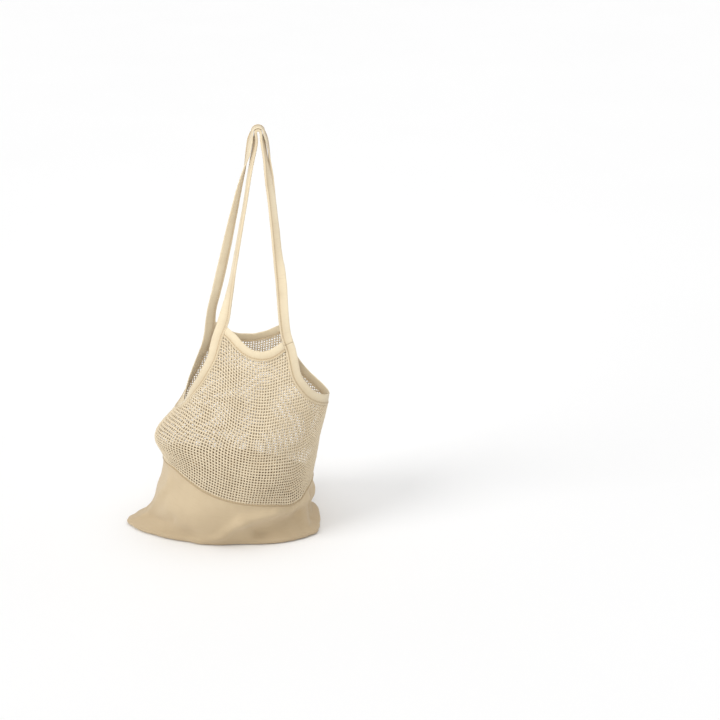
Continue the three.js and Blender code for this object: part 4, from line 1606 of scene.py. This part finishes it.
    def tape_object(self, name: str, run: TapeRun, seed: int) -> bpy.types.Object:
        """Makes a tape's closed mesh from its stations.

        Args:
            name: The object's name.
            run: The stations.
            seed: The number that the tape's small unevenness comes from.

        Returns:
            The tape's object.
        """
        distance = run.distances()
        across = np.array([row[0] for row in self.section])
        half = np.array([share * 0.5 * layer.value for _, share, layer in self.section])
        width = run.high - run.low
        waves = [
            height * soft_noise(distance, step, seed + k) for k, (height, step) in enumerate(self.waves)
        ]
        wander = waves[0] + waves[1]
        swell = 1 + waves[2]
        cup = waves[3]
        ends = np.minimum(distance, distance[-1] - distance)
        swell = swell * (1 + self.end_swell * np.exp(-((ends / self.end_reach) ** 2)))
        near_bend = np.exp(-((run.middle()[:, 2] / self.bend_reach) ** 2))
        swell = swell * (1 - near_bend) + self.bend_swell * near_bend
        loops = []
        for sign, order in ((1, slice(None)), (-1, slice(None, None, -1))):
            for place, thick in zip(across[order], half[order]):
                shifted = place + wander * (place - self.wander_pivot) * self.wander_gain
                bow = cup * (1 - (2 * place - 1) ** 2)
                offset = (sign * thick * swell + bow)[:, None]
                loops.append(run.low + width * shifted[:, None] + run.face * offset)
        points = np.stack(loops, axis=1)
        sides = points.shape[1]
        arrays = MeshArrays()
        u = np.concatenate([across, across[::-1], across[:1]]) * TAPE_WIDTH
        faces = grid_faces(len(distance), sides, wrap=True)
        arrays.add(points, faces, grid_places(u, distance))
        caps = []
        for base, flip in ((0, False), ((len(distance) - 1) * sides, True)):
            for k in range(sides // 2 - 1):
                quad = [base + k, base + sides - 1 - k, base + sides - 2 - k, base + k + 1]
                caps.append(quad[::-1] if flip else quad)
        arrays.join(np.array(caps), self.cap_place)
        obj = arrays.to_object(name)
        self.face_outward(obj)
        return obj

    def face_outward(self, obj: bpy.types.Object) -> None:
        """Turns a closed mesh's faces outward if they point in.

        Args:
            obj: The mesh's object.
        """
        mesh = obj.data
        mesh.calc_loop_triangles()
        points = np.empty(3 * len(mesh.vertices))
        mesh.vertices.foreach_get("co", points)
        points = points.reshape(-1, 3)
        index = np.empty(3 * len(mesh.loop_triangles), int)
        mesh.loop_triangles.foreach_get("vertices", index)
        corners = points[index.reshape(-1, 3)]
        volume = np.sum(corners[:, 0] * np.cross(corners[:, 1], corners[:, 2]))
        if volume < 0:
            mesh.flip_normals()

    def stitches(self, name: str, runs: list) -> bpy.types.Object:
        """Makes the sewing stitches along both faces of the tapes' ridges.

        Args:
            name: The object's name.
            runs: The tapes' stations.

        Returns:
            One object with every stitch.
        """
        arrays = MeshArrays()
        ring = self.stitch_sides
        turn = np.arange(ring) * 2 * math.pi / ring
        groove = 0.5 * TAPE_THICKNESS * self.stitch_groove
        last = ring * (len(self.stitch_shares) - 1)
        faces = grid_faces(len(self.stitch_shares), ring, wrap=True)
        lids = np.array([np.arange(ring)[::-1], np.arange(ring) + last])
        for run, sign in ((run, sign) for run in runs for sign in (1, -1)):
            end = run.distances()[-1]
            middles = np.arange(self.stitch_margins[0], end - self.stitch_margins[1], self.stitch_pitch)
            rings = []
            for share, radius in zip(self.stitch_shares, self.stitch_taper):
                spot = run.at(middles + share * 0.5 * self.stitch_length)
                width = unit(spot.high - spot.low)
                length = np.linalg.norm(spot.high - spot.low, axis=-1, keepdims=True)
                sunk = self.stitch_rise - self.stitch_dip * share * share
                centre = spot.low + width * length * self.stitch_across
                centre = centre + spot.face * sign * (groove + sunk)
                for angle in turn:
                    around = width * math.cos(angle) + spot.face * math.sin(angle)
                    rings.append(centre + around * self.stitch_radius * radius)
            points = np.stack(rings, axis=1)
            offset = (np.arange(len(middles)) * points.shape[1])[:, None, None]
            side_faces = (faces[None] + offset).reshape(-1, 4)
            lid_faces = (lids[None] + offset).reshape(-1, ring) + arrays.count
            arrays.add(points, side_faces, np.tile(points[0, 0], (side_faces.size, 1)))
            arrays.join(lid_faces, (0.0, 0.0, 0.0))
        return arrays.to_object(name)

    def runs(self) -> dict:
        """Lays out the four tapes.

        Returns:
            Their stations, by the name of the CAD node that each stands for.
        """
        left_front = self.edge_run(FRONT_EDGES, FRONT_EDGES.neck[0][0], 0.0, self.left_stations)
        left_back = self.edge_run(BACK_EDGES, self.side_skip, BACK_EDGES.neck[0][0], self.left_stations)
        left_binding = self.bound(
            *(np.concatenate(pair) for pair in zip(left_front, left_back)), -1, TAPE_WIDTH, SCOOP_LEAN
        )
        right_start = 180 - self.side_skip
        right_front = self.edge_run(FRONT_EDGES, FRONT_EDGES.neck[-1][0], 180.0, self.right_stations)
        right_back = self.edge_run(BACK_EDGES, right_start, BACK_EDGES.neck[-1][0], self.right_stations)
        right_binding = self.bound(
            *(np.concatenate(pair) for pair in zip(right_front, right_back)), 1, TAPE_WIDTH
        )
        front_bend = HANGING_RADIUS + 0.5 * RIDGE_THICKNESS * self.bend_swell
        layers = 0.5 * (RIDGE_THICKNESS + TAPE_THICKNESS) * self.bend_swell
        back_bend = front_bend + layers + self.bend_gap
        corners = {
            "front_left": left_binding.part(0, 1),
            "back_left": left_binding.part(-1, None),
            "front_right": right_binding.part(0, 1),
            "back_right": right_binding.part(-1, None),
        }
        legs = {
            name: self.leg(
                corner, name, front_bend if name.startswith("front") else back_bend * self.bend_spread
            )
            for name, corner in corners.items()
        }
        # From each corner up, the corner's own station first
        upward = {name: join_runs(corners[name], legs[name].reversed()) for name in legs}
        joint = {}
        for name in ("front_right", "back_right"):
            own = upward[name]
            rise = np.linspace(0, SIDE_TAPE_RISE, self.joint_stations)[1:]
            start = SIDE_TAPE_RISE + TAPE_GAP
            above = own.distances()
            above = above[above > start + self.joint_margin]
            joint[name] = (own.at(rise), own.at(np.concatenate([[start], above])))
        long_run = join_runs(
            joint["back_right"][1],
            self.bend(back_bend, front=False).reversed(),
            legs["back_left"],
            left_binding.reversed(),
            legs["front_left"].reversed(),
            self.bend(front_bend, front=True),
            joint["front_right"][1].reversed(),
        ).even(self.station_step)
        near_bend = np.exp(-((long_run.middle()[:, 2] / self.ease_reach) ** 2))
        long_run = long_run.eased(self.handle_rounds, np.clip(self.ease_hold * near_bend, 0, 1))
        side_run = join_runs(
            joint["front_right"][0].reversed(), right_binding, joint["back_right"][0]
        ).even(self.station_step)
        side_run = side_run.eased(self.side_rounds, np.zeros(len(side_run.low)))
        runs = {"handle_tape": long_run, "side_tape": side_run}
        for edges in (FRONT_EDGES, BACK_EDGES):
            side = edges.side.value
            neck = self.neck(edges, upward[f"{side}_left"], upward[f"{side}_right"])
            runs[f"{side}_neck_tape"] = neck.even(self.station_step)
        return runs

    def build(self, materials: dict) -> list:
        """Makes the four tapes and their stitches.

        Args:
            materials: The materials by name.

        Returns:
            The tapes' objects, with the stitches last.
        """
        runs = self.runs()
        made = []
        for number, (name, run) in enumerate(runs.items()):
            obj = self.tape_object(f"{name}_cloth", run, self.seed + self.seed_step * number)
            made.append(finish_piece(obj, TAPE_COTTON, materials, (name,)))
        sewn = self.stitches("tape_stitches", list(runs.values()))
        made.append(finish_piece(sewn, SEWING_THREAD, materials))
        return made


@dataclass
class SeamRoll:
    """The turned seam that joins the net to the calico, all round the bag."""

    form: BagForm
    columns: int = 720
    width: float = 0.0027
    half_thickness: float = 0.0015
    sides: int = 10
    pucker: float = 0.16
    pucker_step: float = 0.0032
    seed: int = 41

    def build(self, materials: dict) -> bpy.types.Object:
        """Makes the roll as a closed ring.

        Args:
            materials: The materials by name.

        Returns:
            The roll's object.
        """
        ring = np.arange(self.columns) * 360 / self.columns
        height = self.form.seam(ring)
        middle = self.form.wall(ring, height)
        normal = self.form.normal(ring, height)
        direction = unit(np.roll(middle, -1, axis=0) - np.roll(middle, 1, axis=0))
        side = unit(np.cross(normal, direction))
        steps = np.linalg.norm(np.roll(middle, -1, axis=0) - middle, axis=-1)
        distance = np.concatenate([[0], np.cumsum(steps)])
        pucker = 1 + self.pucker * soft_noise(distance[:-1], self.pucker_step, self.seed)
        rows = []
        for turn in np.arange(self.sides) * 2 * math.pi / self.sides:
            across = 0.5 * self.width * math.cos(turn)
            out = self.half_thickness * math.sin(turn)
            rows.append(middle + side * across + normal * (out * pucker)[:, None])
        # The last row of faces joins the first row of vertices again
        faces = grid_faces(self.sides + 1, self.columns, wrap=True) % (self.sides * self.columns)
        around = np.abs(np.linspace(-1, 1, self.sides + 1)) * self.width
        arrays = MeshArrays()
        arrays.add(np.stack(rows), faces, grid_places(distance, around))
        obj = arrays.to_object("seam_roll")
        # The roll's darker cotton is painted shade along the seam
        return finish_piece(obj, SHADED_SEAM_FOLD, materials)


def add_light(light: bpy.types.Light, place: tuple, away: Vector) -> None:
    """Stands a light in the scene.

    Args:
        light: The light.
        place: Where it stands.
        away: The direction from what it lights to the light.
    """
    obj = bpy.data.objects.new(light.name, light)
    obj.location = place
    obj.rotation_euler = away.to_track_quat("Z", "Y").to_euler()
    bpy.context.scene.collection.objects.link(obj)


@dataclass(frozen=True)
class Sun:
    """A soft distant light, in the direction that away gives, over softness degrees of the sky."""

    name: str
    away: tuple
    strength: float
    softness: float

    def build(self) -> None:
        """Adds the light to the scene."""
        light = bpy.data.lights.new(self.name, "SUN")
        light.energy = self.strength
        light.angle = math.radians(self.softness)
        add_light(light, (0, 0, 0), Vector(self.away))


@dataclass(frozen=True)
class Softbox:
    """A square area light that faces its target and fills spread degrees."""

    name: str
    place: tuple
    target: tuple
    watts: float
    size: float
    spread: float

    def build(self) -> None:
        """Adds the light to the scene."""
        light = bpy.data.lights.new(self.name, "AREA")
        light.energy = self.watts
        light.size = self.size
        light.spread = math.radians(self.spread)
        add_light(light, self.place, Vector(self.place) - Vector(self.target))


@dataclass
class Studio:
    """The floor, the soft light and the camera."""

    lens: float = 84.6
    sensor: float = 36.0
    camera_place: tuple = (-0.03615, -2.16889, 0.49106)
    camera_turn: tuple = (69.5, 0.0, -4.46)
    clip: tuple = (0.05, 60.0)
    floor_half: float = 14.0
    floor_gap: float = 0.0004
    floor_tones: tuple = (0.93, 0.95)
    floor_patches: float = 2.0
    floor_roughness: float = 0.9
    floor_specular: float = 0.1
    world_strength: float = 0.54
    lights: tuple = (
        Sun("key_light", (-0.95, -0.45, 0.85), 1.20, 28.0),
        Sun("top_light", (0.2, 0.0, 1.0), 0.90, 60.0),
        Softbox("front_light", (-0.05, -0.85, 0.12), (0.0, 0.0, -0.15), 0.36, 0.40, 44.0),
    )

    def floor(self) -> None:
        """Makes the plain pale floor."""
        half = self.floor_half
        level = FLOOR_LEVEL - self.floor_gap
        corners = [(x * half, y * half, level) for x, y in ((-1, -1), (1, -1), (1, 1), (-1, 1))]
        mesh = bpy.data.meshes.new("studio_floor")
        mesh.from_pydata(corners, [], [(0, 1, 2, 3)])
        obj = bpy.data.objects.new("studio_floor", mesh)
        bpy.context.scene.collection.objects.link(obj)
        material = bpy.data.materials.new("pale_floor")
        material.use_nodes = True
        shader = material.node_tree.nodes["Principled BSDF"]
        build = NodeBuilder(material.node_tree)
        place = build.node("ShaderNodeTexCoord").outputs["Object"]
        low, high = ((tone, tone, tone, 1) for tone in self.floor_tones)
        tone = build.mix(build.noise(place, self.floor_patches), low, high)
        build.feed(shader.inputs["Base Color"], tone)
        shader.inputs["Roughness"].default_value = self.floor_roughness
        shader.inputs["Specular IOR Level"].default_value = self.floor_specular
        mesh.materials.append(material)

    def world(self) -> None:
        """Makes the even white surroundings, which light the bag less than they look."""
        world = bpy.data.worlds.new("studio")
        world.use_nodes = True
        background = world.node_tree.nodes["Background"]
        background.inputs["Color"].default_value = (1.0, 1.0, 1.0, 1)
        build = NodeBuilder(world.node_tree)
        seen = build.node("ShaderNodeLightPath").outputs["Is Camera Ray"]
        lit = build.math("MULTIPLY_ADD", seen, 1.0 - self.world_strength, self.world_strength)
        build.feed(background.inputs["Strength"], lit)
        bpy.context.scene.world = world

    def camera(self) -> None:
        """Stands the camera where the photo was taken from."""
        camera = bpy.data.cameras.new("photo_camera")
        camera.lens = self.lens
        camera.sensor_width = self.sensor
        camera.clip_start, camera.clip_end = self.clip
        obj = bpy.data.objects.new("photo_camera", camera)
        obj.location = self.camera_place
        obj.rotation_euler = [math.radians(turn) for turn in self.camera_turn]
        bpy.context.scene.collection.objects.link(obj)
        bpy.context.scene.camera = obj

    def build(self) -> None:
        """Sets up the picture's colours, the world, the lights, the camera and the floor."""
        settings = bpy.context.scene.view_settings
        settings.view_transform = "Standard"
        settings.look = "None"
        self.world()
        for light in self.lights:
            light.build()
        self.camera()
        self.floor()


def main() -> None:
    logging.basicConfig(level=logging.INFO, format="%(message)s")
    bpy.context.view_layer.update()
    Studio().build()
    groups = {
        "weave": PlainWeave().build(),
        "tone": CottonTone().build(),
        "fibres": TwistedFibres().build(),
    }
    finishes = (CALICO, NET_YARN, TAPE_COTTON, SHADED_SEAM_FOLD, SEWING_THREAD)
    materials = {finish.name: finish.material(groups) for finish in finishes}
    form = BagForm()
    calico = CalicoBag(form).build(materials)
    nets = {edges.side: NetPanel(form, edges).build(materials) for edges in (FRONT_EDGES, BACK_EDGES)}
    handle, side, front_neck, back_neck, sewn = BindingTapes(form).build(materials)
    roll = SeamRoll(form).build(materials)
    for piece in (calico, *nets.values(), handle, side, front_neck, back_neck, sewn, roll):
        LOG.info("%s: %d faces", piece.name, len(piece.data.polygons))


if __name__ == "__main__":
    main()
